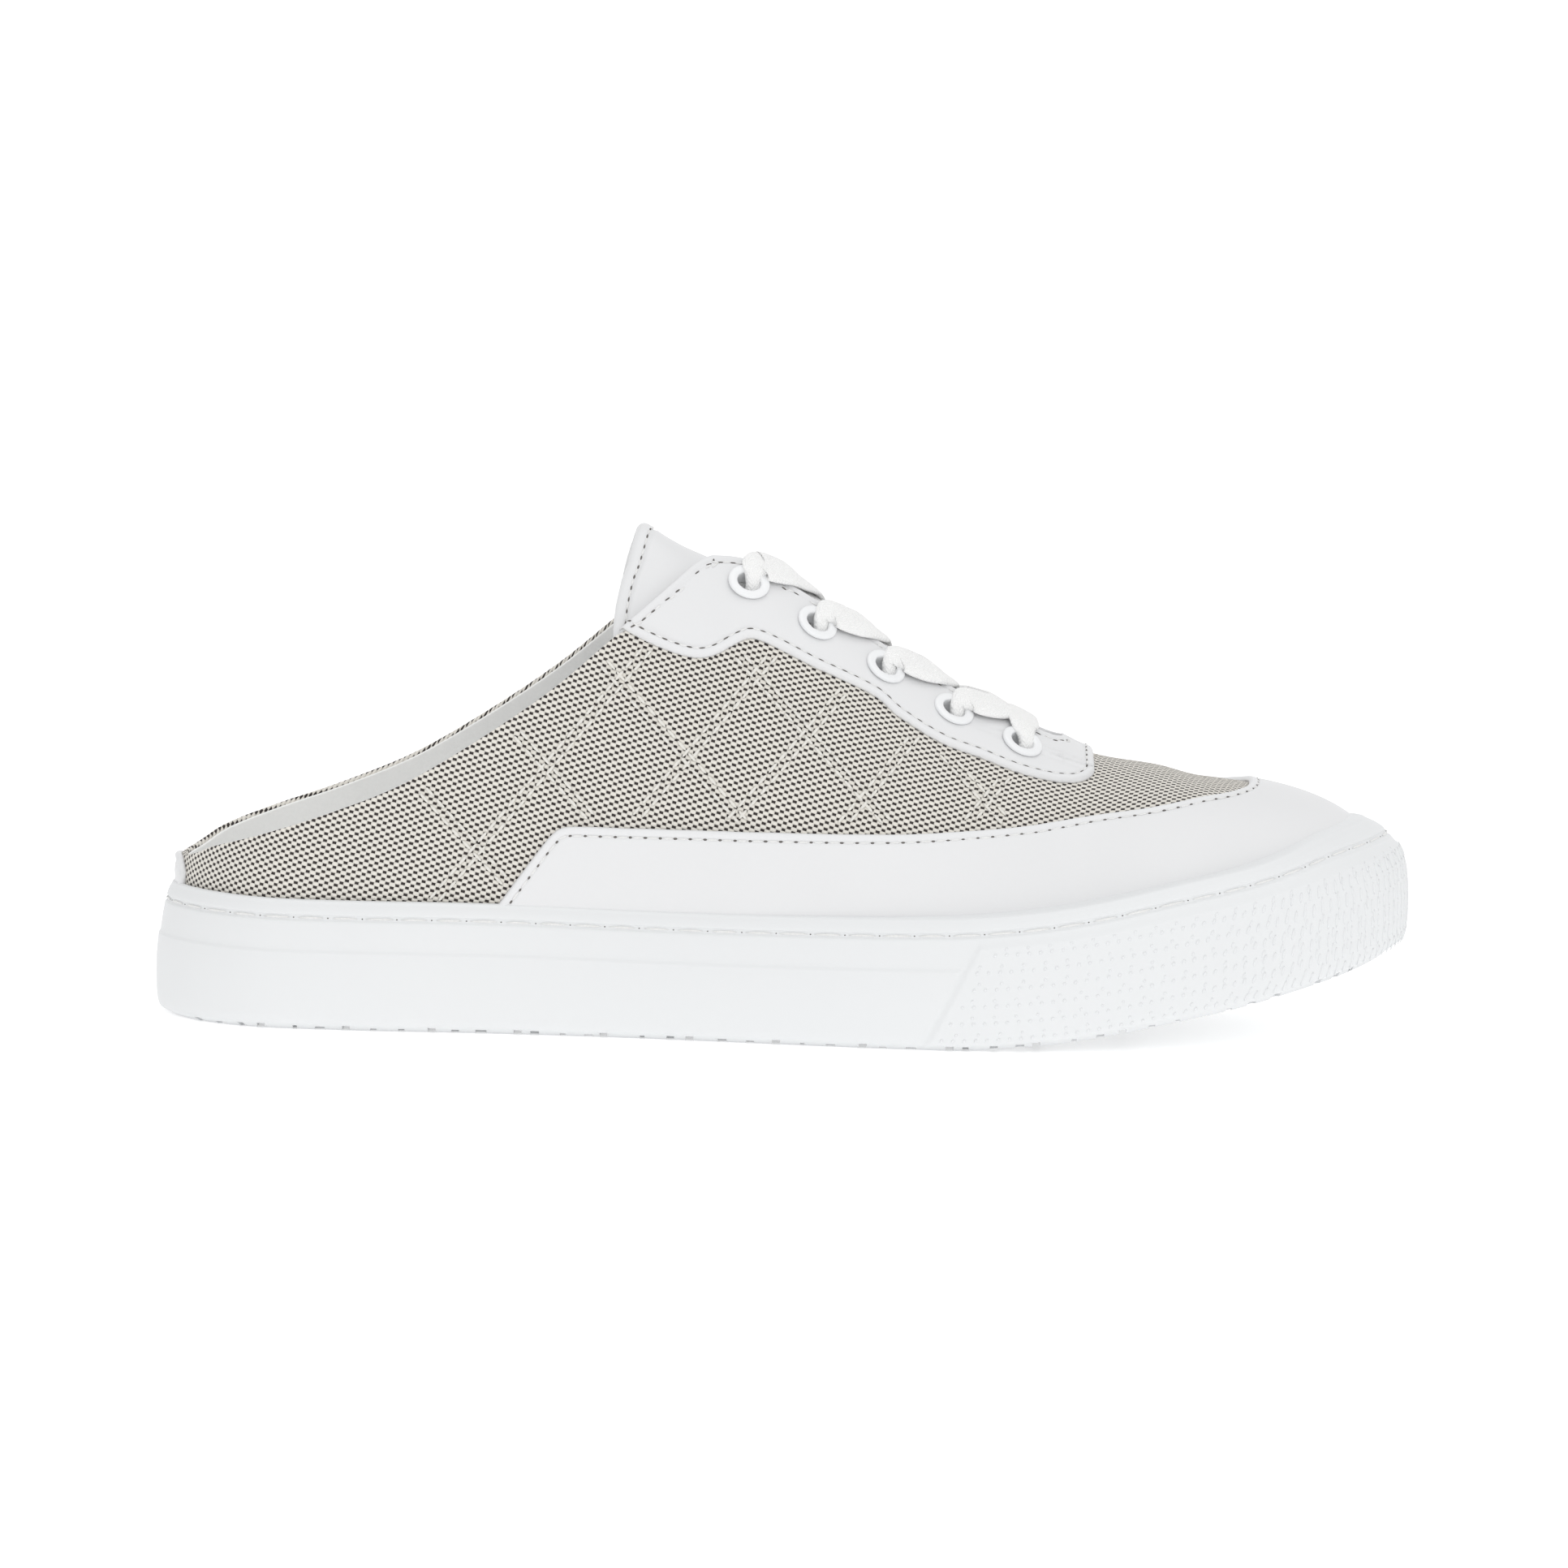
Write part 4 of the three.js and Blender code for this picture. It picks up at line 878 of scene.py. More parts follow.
def bumperPips():  # rows of pips in pairs, which lengthen into upright ribs at the toe
    rows = []
    for pair in range(6):
        for lift, pitch, size in ((0, 2.6, 1.0), (1.4, 5.0, 0.85)):
            rise = 2.6 + 3.9 * pair + lift
            places, ways, ups = ringAt(
                lambda ribs: rise / (lipHeight(ribs["rimX"]) - treadHeight(ribs["rimX"])), pitch)
            foot = treadHeight(places[:, 0])
            height = (places[:, 2] - foot) / (lipHeight(places[:, 0]) - foot)
            keep = (places[:, 0] / length > bumperStart(height) + 0.008) & (height < 0.8)
            places, ways, ups = places[keep], ways[keep], unit(ups[keep])
            toward = np.where(places[:, 1:2] < 0, 1, -1)
            toe = smoothStep(0.78 * length, 0.97 * length, places[:, 0])[:, None]
            along = ups + np.cross(ups, ways) * toward * (0.75 - 0.75 * toe)
            stretch = [size * (1 + 2.4 * toe), size * (1 - 0.1 * toe), np.full_like(toe, size)]
            rows.append((places, along, ways, np.concatenate(stretch, 1)))
    spots, along, out, stretch = (np.concatenate(values) for values in zip(*rows))
    return layBits("bumper_pips", spots, along, out, (1.0, 0.75, 0.5), rubber, stretch, 0.1)


channelStitches()
pips = bumperPips()
print("sole stitches and pips ready")


# The insole
def makeInsole():
    ribs = ribRing(stations(heelPole, toePole, 4), 16, 30)
    reach = (ribs["reach"] - (cupWall + fit + shoe["wall"] + fit) / ribs["facing"])[:, None]

    def at(share, lift, inset=0.0):
        place = reach * np.atleast_1d(share)[None, :] - inset
        return ribPoint(ribs, place, lambda x: cupFloor(x) + lift)

    top = fit + shoe["insole"]
    rows = np.concatenate([
        at([0, 0.5, 0.97], fit), at(1, fit + 0.6), at(1, top - 1.0, 0.2), at(1, top + 0.4, 0.6),
        at(1, top + 0.75, 1.2), at(1, top + 0.6, 2.2), at(1, top + 0.2, 4), at(1, top, 7),
        at([0.7, 0.4, 0.2, 0], top)], 1)
    return makeObject("insole_bed", rows, gridFaces(len(rows), rows.shape[1], ring=True), footbed)


insolePiece = makeInsole()


# The canvas upper and its lining
upper = {
    "canvas": 1.3, "roll": 0.75, "liningGap": 0.05, "lining": 0.5, "liningDrop": 0.3, "liningRoll": 0.25,
    "underEyestay": 0.7,
}


def clothPlaces(layer, run):  # flat cloth coordinates, in millimetres, turned as the weave is
    ribs = layer.ribs
    body = np.abs(ribs["wx"]) < 1e-6
    heel = ribs["wx"] < -1e-6
    toe = ribs["wx"] > 1e-6
    along, up = np.zeros_like(run), run.copy()
    along[body] = ribs["x"][body, None]
    reach = ribs["reach"] - 5
    rim = np.stack([ribs["x"] + ribs["wx"] * reach, ribs["y"] + ribs["wy"] * reach], 1)
    corner = rim[np.argmin(np.where(body, ribs["x"], 1e9))]
    turned = np.abs(np.abs(ribs["angle"] % (2 * math.pi) - math.pi) - math.pi / 2)
    along[heel] = (heelPole - turned[heel] * np.linalg.norm(corner - [heelPole, 0]))[:, None]
    fromPole = layer.full[:, None] - run
    edgeFull = layer.full[np.argmin(np.abs(ribs["x"] - toePole) + 10 * ~body)]
    along[toe] = toePole + ribs["wx"][toe, None] * fromPole[toe]
    up[toe] = edgeFull - np.abs(ribs["wy"][toe, None]) * fromPole[toe]
    tilt = math.radians(weave["tilt"])
    cos, sin = math.cos(tilt), math.sin(tilt)
    return np.stack([along * cos - up * sin, along * sin + up * cos], -1)


def wallMesh(name, layer, outer, inner, top, material, roll, rows=64):  # a closed wall with a rolled rim
    isOpen = top < layer.full - 1e-6
    shares = 1 - (1 - np.linspace(0, 1, rows)[None, :]) ** 1.35
    rollArc = np.where(isOpen, roll, 0)[:, None]
    edge, fold = top[:, None] - rollArc, (outer - inner) * 1.3
    base = edge * shares
    phi = np.linspace(0, math.pi, 9)[None, 1:-1]
    middle, half = (outer + inner) / 2, (outer - inner) / 2
    grid = np.concatenate([layer.at(base, outer),
                           layer.at(edge + rollArc * np.sin(phi), middle + half * np.cos(phi)),
                           layer.at(base[:, ::-1], inner)], 1)
    clothRun = np.concatenate([base, edge + fold * phi / math.pi, 2 * edge + fold - base[:, ::-1]], 1)
    n, m = grid.shape[:2]
    faces = gridFaces(n, m, ring=True)
    i = np.arange(n)
    bottom = np.stack([i * m, i * m + m - 1, (i + 1) % n * m + m - 1, (i + 1) % n * m], 1)
    # where both halves meet on the ridge there is no edge to roll over
    rib, column = faces[:, 0] // m, faces[:, 0] % m
    closed = ~isOpen[rib] & ~isOpen[(rib + 1) % n]
    faces = faces[~(closed & (column >= rows - 1) & (column < m - rows))]
    return makeObject(name, grid, np.concatenate([faces, bottom]), material, clothPlaces(layer, clothRun))


body = stations(heelPole, toePole, 1.6, (120, 132, 0.6), (203, 213.2, 0.35))
upperRibs = ribRing(body, 26, 60)
upperLayer = Layer(upperRibs)
topEdge = upperTop(upperLayer)
underLeather = (upperRibs["x"] > 0.37 * length) & (topEdge < upperLayer.full - 1e-6)
canvasTop = topEdge - np.where(underLeather, upper["underEyestay"], 0)
canvasPiece = wallMesh("canvas_upper", upperLayer, 0.0, -upper["canvas"], canvasTop, canvas, upper["roll"])
liningOut = -upper["canvas"] - upper["liningGap"]
liningTop = topEdge - np.where(topEdge < upperLayer.full - 1e-6, upper["liningDrop"], 0)
liningIn = liningOut - upper["lining"]
liningPiece = wallMesh("upper_lining", upperLayer, liningOut, liningIn, liningTop, lining,
                       upper["liningRoll"], rows=40)
print("upper ready", len(canvasPiece.data.polygons))


# Leather laid over the canvas: a rolled rim, a sunk row of stitches and the flat beyond
leatherEdge = {
    "round": 0.6, "swell": 0.18, "swellAt": 0.975, "swellHalf": 0.7, "sunk": 0.22, "sunkAt": 2.1,
    "sunkHalf": 0.38,
}


def overlayThickness(distance):  # by the distance from the edge
    e = leatherEdge
    roundEdge = np.sqrt(np.clip(1 - (1 - np.clip(distance / e["round"], 0, 1)) ** 2, 0, 1))
    swell = e["swell"] * np.exp(-(((distance - e["swellAt"]) / e["swellHalf"]) ** 2))
    sunk = e["sunk"] * np.exp(-(((distance - e["sunkAt"]) / e["sunkHalf"]) ** 2))
    return shoe["overlay"] * roundEdge + (swell - sunk) * roundEdge


def overlayMesh(layer, low, high, columns, border=None):  # the edge is the upper line, or the border given
    t = np.linspace(-1, 1, columns)
    shares = (0.5 + 0.5 * np.sign(t) * (1 - (1 - np.abs(t)) ** 1.5))[None, :]
    run = low[:, None] + (high - low)[:, None] * shares
    base = layer.at(run, fit)
    distance = distanceTo(base, base[:, -1] if border is None else border)
    sides = layer.at(run, fit / 2 + overlayThickness(distance)), layer.at(run, 0.05)
    points = np.concatenate([side.reshape(-1, 3) for side in sides])
    return points, shellFaces(len(low), columns), base[:, -1]


tuck = 2.5  # how far the leather goes down behind the sole's lip
toeGuard = {"back": 0.262, "columns": 56}


def guardPiece():
    start = toeGuard["back"] * length
    ribs = ribRing(stations(start, toePole, 1.5, (start, 99, 0.5)), 0, 90)
    layer = Layer(ribs)
    x, z = layer.points[..., 0], layer.points[..., 2]
    high = layer.whereRises(z - instepHeight * readTable(toeGuardEdge, "up", x / length))
    lip = lipHeight(ribs["rimX"])[:, None]
    low = np.minimum(layer.whereRises(z - (lip - tuck)), high - 0.02)
    keep = high > low + 0.03
    points, faces, upperLine = overlayMesh(Layer(pickRibs(ribs, keep)), low[keep], high[keep],
                                           toeGuard["columns"])
    return makeObject("toe_guard_leather", points, faces, leather), upperLine


guard, guardLine = guardPiece()
print("toe guard ready", len(guard.data.polygons))


def acrossRib(layer, low, high, k, count):  # places up one rib of an overlay
    return layer.at(np.linspace(low[k], high[k], count)[None, :].repeat(len(low), 0), fit)[k]


stay = {"back": 0.3675, "front": 0.7465, "corner": 5.5, "columns": 52}


def eyestayPiece():
    front, corner = stay["front"] * length, stay["corner"]
    bend = front - corner
    body = stations(stay["back"] * length, bend, 0.8, (120, 131, 0.4), (204, 213.1, 0.25))
    tip = bend + (front - bend) * np.sin(np.linspace(0, math.pi / 2, 18))[1:]
    body = np.concatenate([body[body < bend - 0.05], [bend], tip])
    halves = []
    for hand in (-1, 1):
        ribs = makeRibs(body, np.full(len(body), hand * math.pi / 2))
        layer = Layer(ribs)
        high = upperTop(layer)
        edge = instepHeight * readTable(eyestayEdge, "up", body / length)[:, None]
        low = layer.whereRises(layer.points[..., 2] - edge)
        t = np.clip((body - bend) / corner, 0, 1)
        low = np.minimum(low + corner * (1 - np.sqrt(1 - t**2)), high - 0.02)
        halves.append((layer, low, high))
    borders, outer, throatEdges, meshes = [], [], [], []
    for layer, low, high in halves:
        edgeLow, edgeHigh = (layer.at(run[:, None], fit)[:, 0] for run in (low, high))
        openTop = high < layer.full - 1e-6
        rear, tip = (acrossRib(layer, low, high, k, 30) for k in (0, -1))
        borders += [edgeLow, edgeHigh[openTop], rear, tip]
        outer.append(np.concatenate([rear[:0:-1], edgeLow, tip[1:]]))
        throatEdges.append(edgeHigh[openTop])
    loops = [np.concatenate([pair[0], pair[1][::-1]]) for pair in (outer, throatEdges)]
    dense = np.concatenate([resample(line, 0.15) for line in borders])
    n, m = len(body), stay["columns"]
    for hand, (layer, low, high) in zip((-1, 1), halves):
        points, faces, _ = overlayMesh(layer, low, high, m, dense)
        # the halves join on the ridge in front of the throat, where no wall stands between them
        wallStart = 2 * (n - 1) * (m - 1)
        wall = faces[wallStart:]
        onRidge = high >= layer.full - 1e-6
        ends = wall[:, (0, 3)] % (n * m)
        drop = np.all((ends % m == m - 1) & onRidge[ends // m], 1)
        faces = np.concatenate([faces[:wallStart], wall[~drop]]) + len(points) * len(meshes)
        meshes.append((points, faces if hand < 0 else faces[:, ::-1]))
    points, faces = (np.concatenate(values) for values in zip(*meshes))
    piece = makeObject("eyestay_leather", points, faces, leather)
    mergeDoubles(piece, 3e-6)
    return piece, loops


eyestay, eyestayBorders = eyestayPiece()
print("eyestay ready", len(eyestay.data.polygons))


heelTab = {"half": 10, "height": 7, "reach": 34, "droop": 0.55, "ribs": 40, "columns": 26}


def heelTabPiece():
    count = heelTab["ribs"]
    side = np.linspace(-1, 1, count)
    ribs = makeRibs(np.full(count, heelPole), math.pi + side * math.asin(heelTab["half"] / heelTab["reach"]))
    layer = Layer(ribs)
    lip = lipHeight(ribs["rimX"])
    topZ = lip + heelTab["height"] * (1 - heelTab["droop"] * np.abs(side) ** 3.5)
    low = layer.whereRises(layer.points[..., 2] - (lip - tuck)[:, None])
    high = layer.whereRises(layer.points[..., 2] - topZ[:, None])
    lines = [layer.at(high[:, None], fit)[:, 0], *(acrossRib(layer, low, high, k, 20) for k in (0, -1))]
    dense = np.concatenate([resample(line, 0.15) for line in lines])
    points, faces, _ = overlayMesh(layer, low, high, heelTab["columns"], dense)
    return makeObject("heel_tab_leather", points, faces, leather)


tab = heelTabPiece()


# The tongue: a padded sheet whose rolled rim stands free at its back
tongue = {
    "thick": 4, "half": 25, "crownHalf": 1.15, "fall": 5, "taper": 0.3, "front": 0.75, "lowered": 1.9,
    "rim": 1.6, "seamIn": 3.1, "seamHalf": 0.5, "seamDeep": 0.45, "padding": 0.4, "paddingIn": (3, 9),
}


def tongueTop(x, side):
    inner = -shoe["wall"] - fit
    rise = instepHeight * readTable(tongueSections, "rise", x / length)
    riseShare = np.maximum(1 - (side / (tongue["crownHalf"] * throatHalfWidth)) ** 2, 0)
    ridge = instepHeight * readTable(tongueSections, "ridge", x / length)
    cap = ridge - side**2 / (tongue["fall"] * throatHalfWidth)
    under = tongue["lowered"] * smoothStep(0.43 * length, 0.48 * length, x)
    return smoothMin(lastHeight(x, side, inner) + rise * riseShare, cap, 3) - under


def tonguePiece():
    across, lengthwise = 90, 150
    share = np.sin(np.linspace(-1, 1, across) * math.pi / 2)[:, None]
    corner = length * float(readTable(tongueBack, "along", 1.0, "side"))
    reaches = np.linspace(0.6, 1, 41)
    ends = tongueTop(np.full(41, corner), reaches * tongue["half"])
    outerEnd = float(tongueTop(np.array([corner]), np.array([-tongue["half"]]))[0])
    # the inner wing ends as high as the outer
    innerReach = float(np.interp(outerEnd, ends[::-1], reaches[::-1]))
    back = length * readTable(tongueBack, "along", np.abs(share), "side")
    t = ((1 - np.cos(np.linspace(0, math.pi, lengthwise))) / 2)[None, :] ** 1.3
    x = back + (tongue["front"] * length - back) * t
    side = share * np.where(share > 0, innerReach, 1) * tongue["half"] * (1 - tongue["taper"] * t)
    z = tongueTop(x, side)
    surface = np.stack([x, spineSide(x) + side, z], -1)
    normal = unit(np.cross(np.gradient(surface, axis=1), np.gradient(surface, axis=0)))
    normal *= np.sign(normal[..., 2:3])
    middle = surface - normal * tongue["thick"] / 2
    border = np.concatenate([middle[:, 0], middle[-1, :], middle[::-1, -1], middle[0, ::-1]])
    distance = distanceTo(middle, border)
    rim = np.sqrt(np.clip(1 - (1 - np.clip(distance / tongue["rim"], 0, 1)) ** 2, 0, 1))
    seam = tongue["seamDeep"] * np.exp(-(((distance - tongue["seamIn"]) / tongue["seamHalf"]) ** 2))
    padding = tongue["padding"] * smoothStep(*tongue["paddingIn"], distance)
    half = (tongue["rim"] * rim - seam * rim + padding)[..., None]
    points = np.concatenate([(middle + normal * half * hand).reshape(-1, 3) for hand in (1, -1)])
    piece = makeObject("tongue_leather", points, shellFaces(across, lengthwise), leather)
    return piece, [np.concatenate([grid[0, ::-1][-90:], grid[:, 0], grid[-1, :90]])
                   for grid in (middle, normal)]


tonguePad, tongueBorder = tonguePiece()
print("tongue ready")


# Eyelets
eyelet = {"radius": 5.0, "hole": 2.85, "wall": 0.6, "flange": 0.75, "drop": 3.2, "room": 0.1, "sides": 48}
eyeletRows = [length * (eyeletFirst + (eyeletLast - eyeletFirst) * i / (eyeletCount - 1))
              for i in range(eyeletCount)]


def overLast(x, side, offset):
    return np.array([x, float(spineSide(x)) + side, float(lastHeight(x, side, offset))])


def normalOverLast(x, side, offset, step):
    forward = overLast(x + step, side, offset) - overLast(x - step, side, offset)
    inward = overLast(x, side + step, offset) - overLast(x, side - step, offset)
    return unit(np.cross(forward, inward))


def eyeletPlaces(hand):  # the middle and outward way of each eyelet on one side
    offset = fit + shoe["overlay"]
    return [(overLast(x, hand * eyeletRowHalf, offset), normalOverLast(x, hand * eyeletRowHalf, offset, 1.5))
            for x in eyeletRows]


def squareTo(normal):
    first = unit(np.cross(normal, [0, 1, 0]))
    return first, np.cross(normal, first)


def turned(profile, centre, normal, sides):  # a closed profile of radius and height turned about an axis
    a, b = squareTo(normal)
    angle = 2 * math.pi * np.arange(sides)[:, None] / sides
    radius, height = np.array(profile)[:, 0][None], np.array(profile)[:, 1][None]
    around = np.cos(angle)[..., None] * a + np.sin(angle)[..., None] * b
    points = centre + around * radius[..., None] + height[..., None] * normal
    return points, gridFaces(*points.shape[:2], ring=True, tube=True)


def makeEyelets():
    e = eyelet
    flangeMiddle, flangeHalf = (e["radius"] + e["hole"]) / 2, (e["radius"] - e["hole"]) / 2
    tube = e["hole"] + e["wall"]
    profile = [(tube, -e["drop"]), (tube, -0.1), (e["radius"] - 0.1, -0.1)]
    profile += [(flangeMiddle + flangeHalf * math.cos(a), 0.1 + e["flange"] * math.sin(a) ** 0.5)
                for a in np.linspace(0.0, math.pi, 15)]
    profile += [(e["hole"], -e["drop"])]
    made = {}
    for sideName, hand in (("outer", -1), ("inner", 1)):
        for i, (centre, normal) in enumerate(eyeletPlaces(hand), 1):
            points, quads = turned(profile, centre, normal, e["sides"])
            ring = makeObject(f"ring_{sideName}_{i}", points, quads, plastic, sharp=50)
            made[f"eyelet_{sideName}_{i}"] = ring
    return made


def drillHoles(piece, radius, sides=28):
    points, faces = [], []
    angle = 2 * math.pi * np.arange(sides)[:, None] / sides
    k = np.arange(sides)
    for centre, normal in eyeletPlaces(-1) + eyeletPlaces(1):
        a, b = squareTo(normal)
        ring = radius * (np.cos(angle) * a + np.sin(angle) * b)
        first = sides * len(points)
        points += [centre + ring + normal * 6, centre + ring - normal * 7]
        faces += [first + k, first + sides + k[::-1]]
        faces += [first + np.array([j, sides + j, sides + (j + 1) % sides, (j + 1) % sides]) for j in k]
    cutAway(piece, makeObject("hole_cutter", np.concatenate(points), faces, leather))


eyelets = makeEyelets()
for piece in (eyestay, canvasPiece, liningPiece):
    drillHoles(piece, eyelet["hole"] + eyelet["wall"] + eyelet["room"])
print("eyelets ready")


# Stitches along the leather and on the canvas
seamKinds = {  # how far in from the edge, the spacing, and the sizes of a thread and of the dark dot of painted shade for a needle hole
    "guard": (2.1, 3.5, (2.6, 0.55, 0.3), (0.95, 0.6, 0.3)),
    "eyestay": (2.0, 3.0, (1.9, 0.55, 0.35), (1.5, 0.5, 0.3)),
    "tongue": (2.9, 3.0, (1.9, 0.55, 0.35), (1.3, 0.5, 0.3)),
}
canvasTree = surfaceOf(canvasPiece)


def outwardOf(line):  # the shoe's outward way beside each place of a line
    ways = []
    for spot in line:
        hit = canvasTree.find_nearest(Vector((spot + heelBack) * millimetre))
        ways.append(hit[1] if hit[1].dot(Vector((0, spot[1], spot[2] - 20))) > 0 else -hit[1])
    return np.array(ways, float)


def sew(kind, name, piece, line, out):
    inset, pitch, threadSize, holeShadeSize = seamKinds[kind]
    layStitches(name, *layOn(piece, line, out, inset, pitch), threadSize, holeShadeSize, thread)


for kind, name, piece, border in (("guard", "guard", guard, guardLine),
                                  ("eyestay", "eyestay_1", eyestay, eyestayBorders[0]),
                                  ("eyestay", "eyestay_2", eyestay, eyestayBorders[1])):
    border = resample(border, 0.5)
    sew(kind, name, piece, border, outwardOf(border))
sew("tongue", "tongue", tonguePad, *tongueBorder)
print("leather seams ready")

quilt = {"gap": 1.9, "pitch": 3.4, "clear": 2.2, "thread": (3.2, 0.8, 0.5), "raised": 0.2, "lines": (
    # from x, z to x, z on either side of the shoe, a lattice of lozenges
    (66, 30, 122, 98), (96, 30, 152, 98), (126, 40, 176, 98), (152, 40, 196, 92), (180, 40, 216, 80),
    (52, 68, 92, 26), (66, 90, 126, 26), (92, 100, 152, 36), (118, 108, 182, 40), (148, 104, 208, 42),
)}


def onSide(x, z, hand):  # the places on the last's side at given lengths and heights
    layer = Layer(makeRibs(x, np.full(len(x), hand * math.pi / 2)), 200)
    return np.array([[np.interp(level, rib[:, 2], rib[:, k]) for k in (0, 1, 2)]
                     for level, rib in zip(z, layer.points)])


def bareCanvas(spots):  # which places lie on canvas that no leather covers
    x, z = spots[:, 0] / length, spots[:, 2] / instepHeight
    clear = quilt["clear"] / instepHeight
    guardTop = np.where(x > 0.27, readTable(toeGuardEdge, "up", x), 0)
    stayLow = np.where(x > 0.367, readTable(eyestayEdge, "up", x), 9)
    lip = lipHeight(spots[:, 0]) / instepHeight
    collar = readTable(collarEdge, "up", x) + shoe["collarTilt"] * spots[:, 1] / instepHeight
    return (z > guardTop + clear) & (z < stayLow - clear) & (z > lip) & (z < collar - clear * 1.5)


def quilting():
    for hand in (-1, 1):
        for number, (x0, z0, x1, z1) in enumerate(quilt["lines"]):
            way = np.array([x1 - x0, z1 - z0]) / math.hypot(x1 - x0, z1 - z0)
            for row in (-0.5, 0.5):
                t = np.linspace(0, 1, 90)
                x = x0 + (x1 - x0) * t - way[1] * row * quilt["gap"]
                z = z0 + (z1 - z0) * t + way[0] * row * quilt["gap"]
                line = onSide(x, z, hand)
                line = line[bareCanvas(line)]
                if len(line) < 8:
                    continue
                placed = layOn(canvasPiece, line, outwardOf(line), 0, quilt["pitch"])
                name = f"quilt_{'outer' if hand < 0 else 'inner'}_{number + 1}_{1 if row < 0 else 2}"
                layStitches(name, *placed, quilt["thread"], None, quiltThread, quilt["raised"])


quilting()
print("quilting ready")


# The lace: one flat band from the bar over the lowest eyelets up to the top ones, on each side
lace = {"high": 0.2, "low": -1.6, "step": 0.6, "section": 20, "firstTurn": 0.38}

# From the upper hole of a crossing to its lower one, how far each place lies to the side and ahead,
# its height over the last, and the band's width and thickness there
crossing = table(
    "side ahead height width thick",
    (-14.3, 2.8, 3.3, 7.8, 1.9), (-12.7, 5.6, 3.1, 9.6, 2), (-10.5, 8.7, 2.7, 10, 2),
    (-7.8, 11.4, 2.3, 9.6, 1.9), (-4.5, 13.2, 1.1, 9, 1.7), (0, 14.1, 0, 8.6, 1.5),
    (5.5, 14.8, -1.7, 8.2, 1.4), (9.4, 15.3, -2.8, 7.4, 1.4), (13.6, 15.8, -3.1, 6, 1.7),
)
barRows = ((0, 1.1, 7.8, 1.6), (4.5, 1.7, 8.2, 1.6), (9, 2.4, 8.4, 1.6), (13.2, 3.1, 6.8, 1.5))
# How far ahead of an eyelet's middle and in from it each place lies, its height, width and thickness,
# first in the hole and then behind the top eyelet, where the lace stops
holeRows = ((1, 1.3, 1.7, 3.9, 2.4), (0.8, 1.1, -0.9, 3.9, 2.4))
endRows = ((-1, 1.6, -3.1, 5.6, 1.9), (-2, 5.5, -2.9, 6.8, 1.5))


def laceRun(hand):  # waypoints of place, width and thickness from the bar up to the top eyelet
    spots = []

    def put(x, side, offset, width, thick):
        spots.append((overLast(x, side, offset), width, thick))

    for side, offset, width, thick in barRows:
        put(eyeletRows[-1] + 0.4, hand * side, offset, width, thick)
    for i in range(eyeletCount - 1, -1, -1):
        for ahead, inward, offset, width, thick in holeRows if i else holeRows + endRows:
            put(eyeletRows[i] + ahead, hand * (eyeletRowHalf - inward), offset, width, thick)
        if i == 0:
            break
        for side, ahead, offset, width, thick in zip(*(crossing[name][::-1] for name in crossing)):
            if side == 0:
                offset = lace["high"] if hand > 0 else lace["low"]
            if i == 1:  # the top crossing rises straight out of its hole before it turns
                ahead *= 1 - lace["firstTurn"] * min(max(-side / 13, 0), 1)
            put(eyeletRows[i - 1] + ahead, hand * side, offset, width, thick)
        hand = -hand
    return spots


def curveThrough(values, step):  # a smooth line through rows of numbers, the first three a place
    values = np.array(values, float)
    n = len(values)
    out = []
    for i in range(n - 1):
        near = [values[min(max(k, 0), n - 1)] for k in (i - 1, i, i + 1, i + 2)]
        spans = [np.linalg.norm(b[:3] - a[:3]) for a, b in zip(near, near[1:])]
        gaps = [max(span, 1e-3) ** 0.5 for span in spans]
        out += [splineAt(near, gaps, w) for w in np.arange(0, 1, step / max(spans[1], step))]
    return np.array(out + [values[-1]])


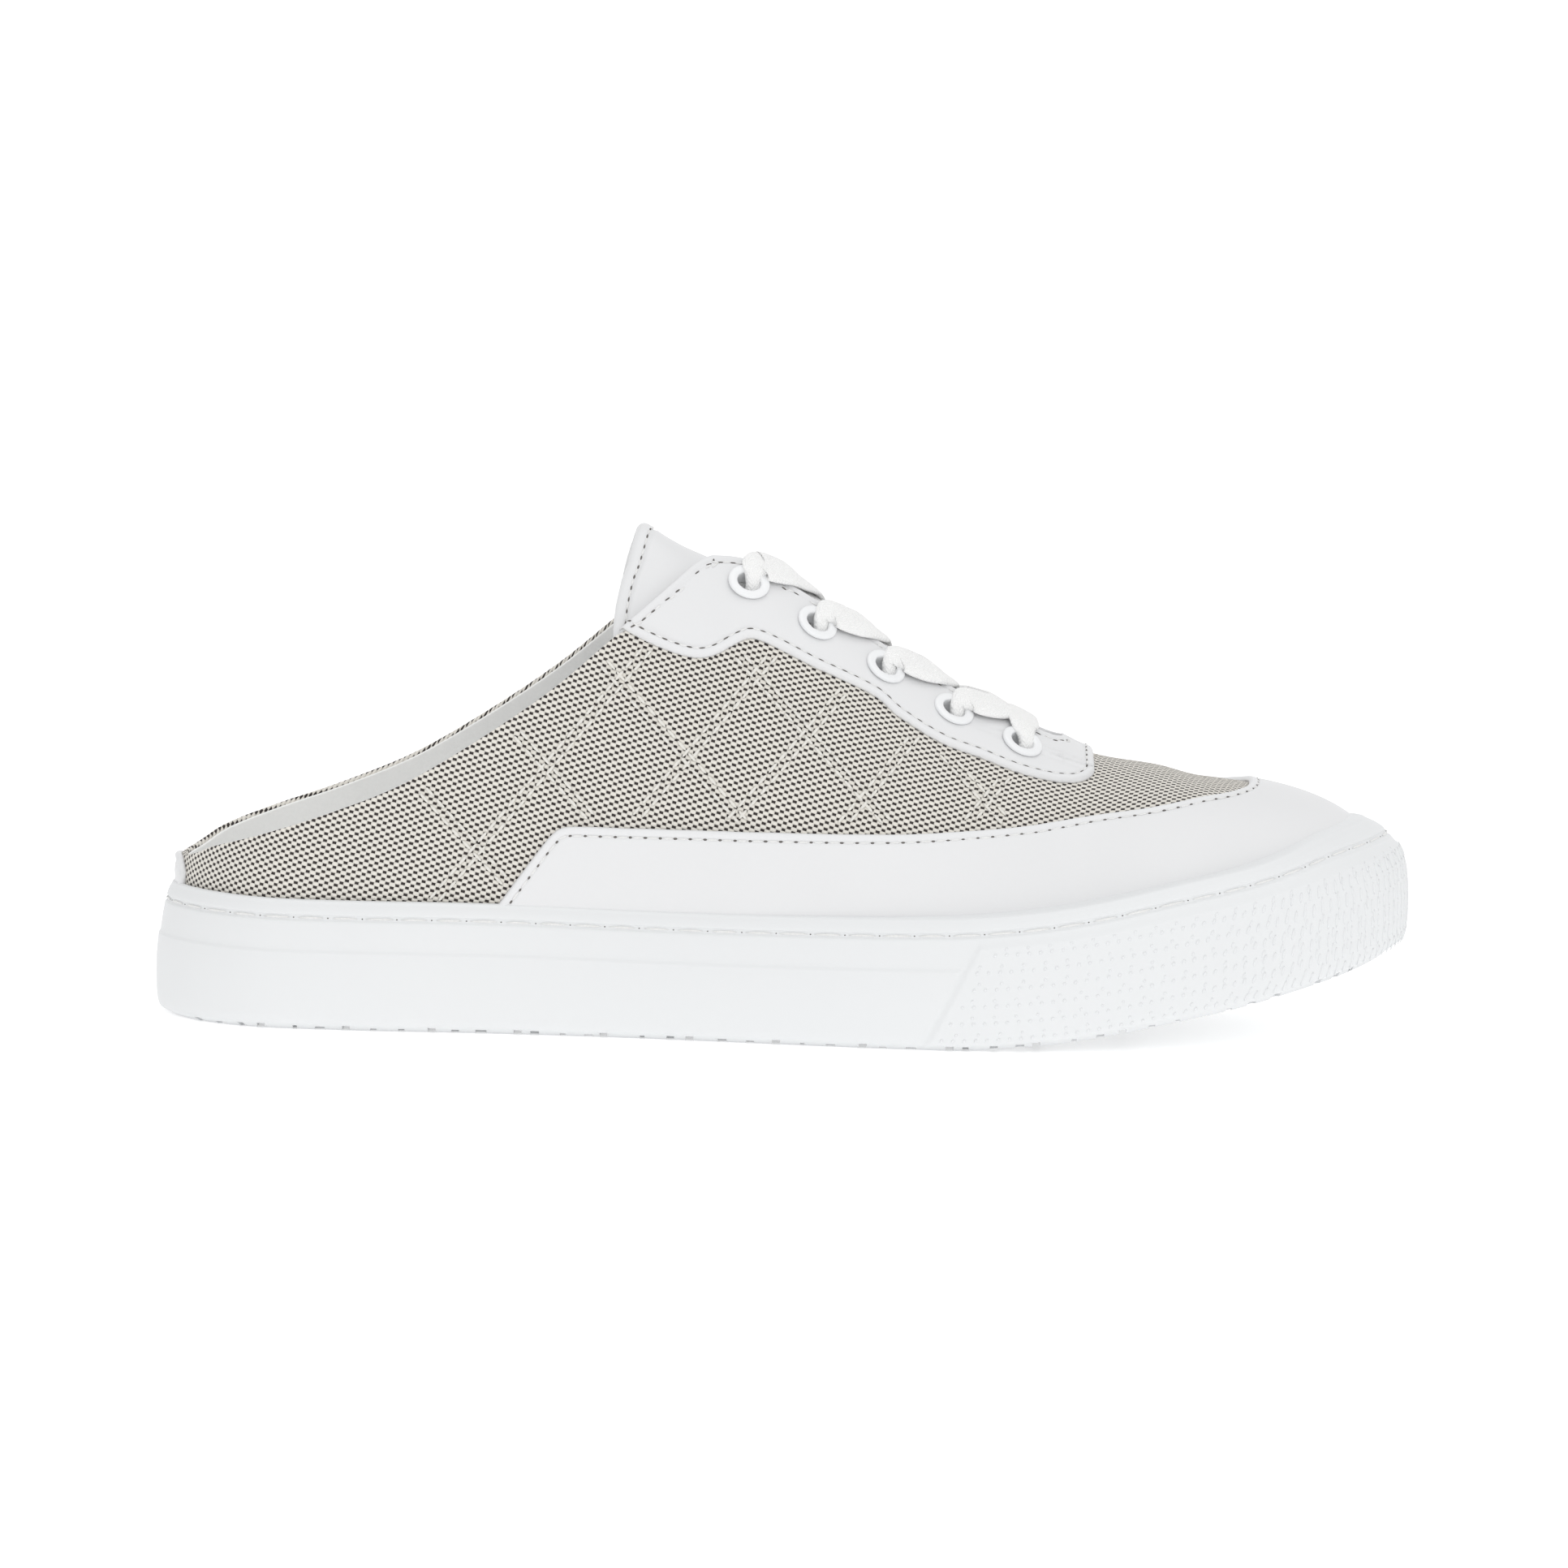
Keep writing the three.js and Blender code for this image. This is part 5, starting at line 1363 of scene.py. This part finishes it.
def bandMesh(path):  # path rows: place, surface normal, width, thickness
    place, up, width, thick = path[:, :3], path[:, 3:6], path[:, 6], path[:, 7]
    run = unit(np.gradient(place, axis=0))
    across = unit(np.cross(run, up))
    rise = np.cross(across, run)
    angle = 2 * math.pi * np.arange(lace["section"]) / lace["section"]
    wide = np.sign(np.cos(angle)) * np.abs(np.cos(angle)) ** 0.75
    tall = np.sign(np.sin(angle)) * np.abs(np.sin(angle)) ** 0.8
    points = (place[:, None] + across[:, None] * (wide[None, :, None] * width[:, None, None] / 2)
              + rise[:, None] * (tall[None, :, None] * thick[:, None, None] / 2))
    sideways = wide[None, :] * width[:, None] / 2
    uv = np.stack([runAlong(place)[:, None] + 0 * sideways, sideways], -1)
    n, m = points.shape[:2]
    caps = [range(m), range(n * m - 1, (n - 1) * m - 1, -1)]
    return points, [*gridFaces(n, m, tube=True), *caps], uv


def makeLace():
    rows = []
    for place, width, thick in laceRun(-1)[::-1] + laceRun(1)[1:]:
        side = place[1] - float(spineSide(place[0]))
        rows.append([*place, *normalOverLast(place[0], side, 1.5, 1.0), width, thick])
    points, faces, uv = bandMesh(curveThrough(rows, lace["step"]))
    return makeObject("lace_band", points, faces, cotton, uv)


lacePiece = makeLace()
print("lace ready", len(lacePiece.data.polygons))


# What each piece stands for
standsFor = (
    (solePiece, "sole_rubber", ("cup_sole",)),
    (pips, "sole_rubber", ()),
    (insolePiece, "insole_textile", ("insole",)),
    (canvasPiece, "canvas", ("upper",)),
    (liningPiece, "insole_textile", ()),
    (guard, "leather", ("toe_guard",)),
    (eyestay, "leather", ("eyestay",)),
    (tab, "leather", ("heel_tab",)),
    (tonguePad, "leather", ("tongue",)),
    (lacePiece, "lace_cotton", ("lace_bar", *(f"lace_crossing_{i + 1}" for i in range(eyeletCount - 1)))),
    *((ring, "eyelet_plastic", (node,)) for node, ring in eyelets.items()),
    *((row, "lace_cotton", ()) for row in seams),
)
for piece, slot, nodes in standsFor:
    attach(piece, "root")
    if nodes:
        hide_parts(*nodes)
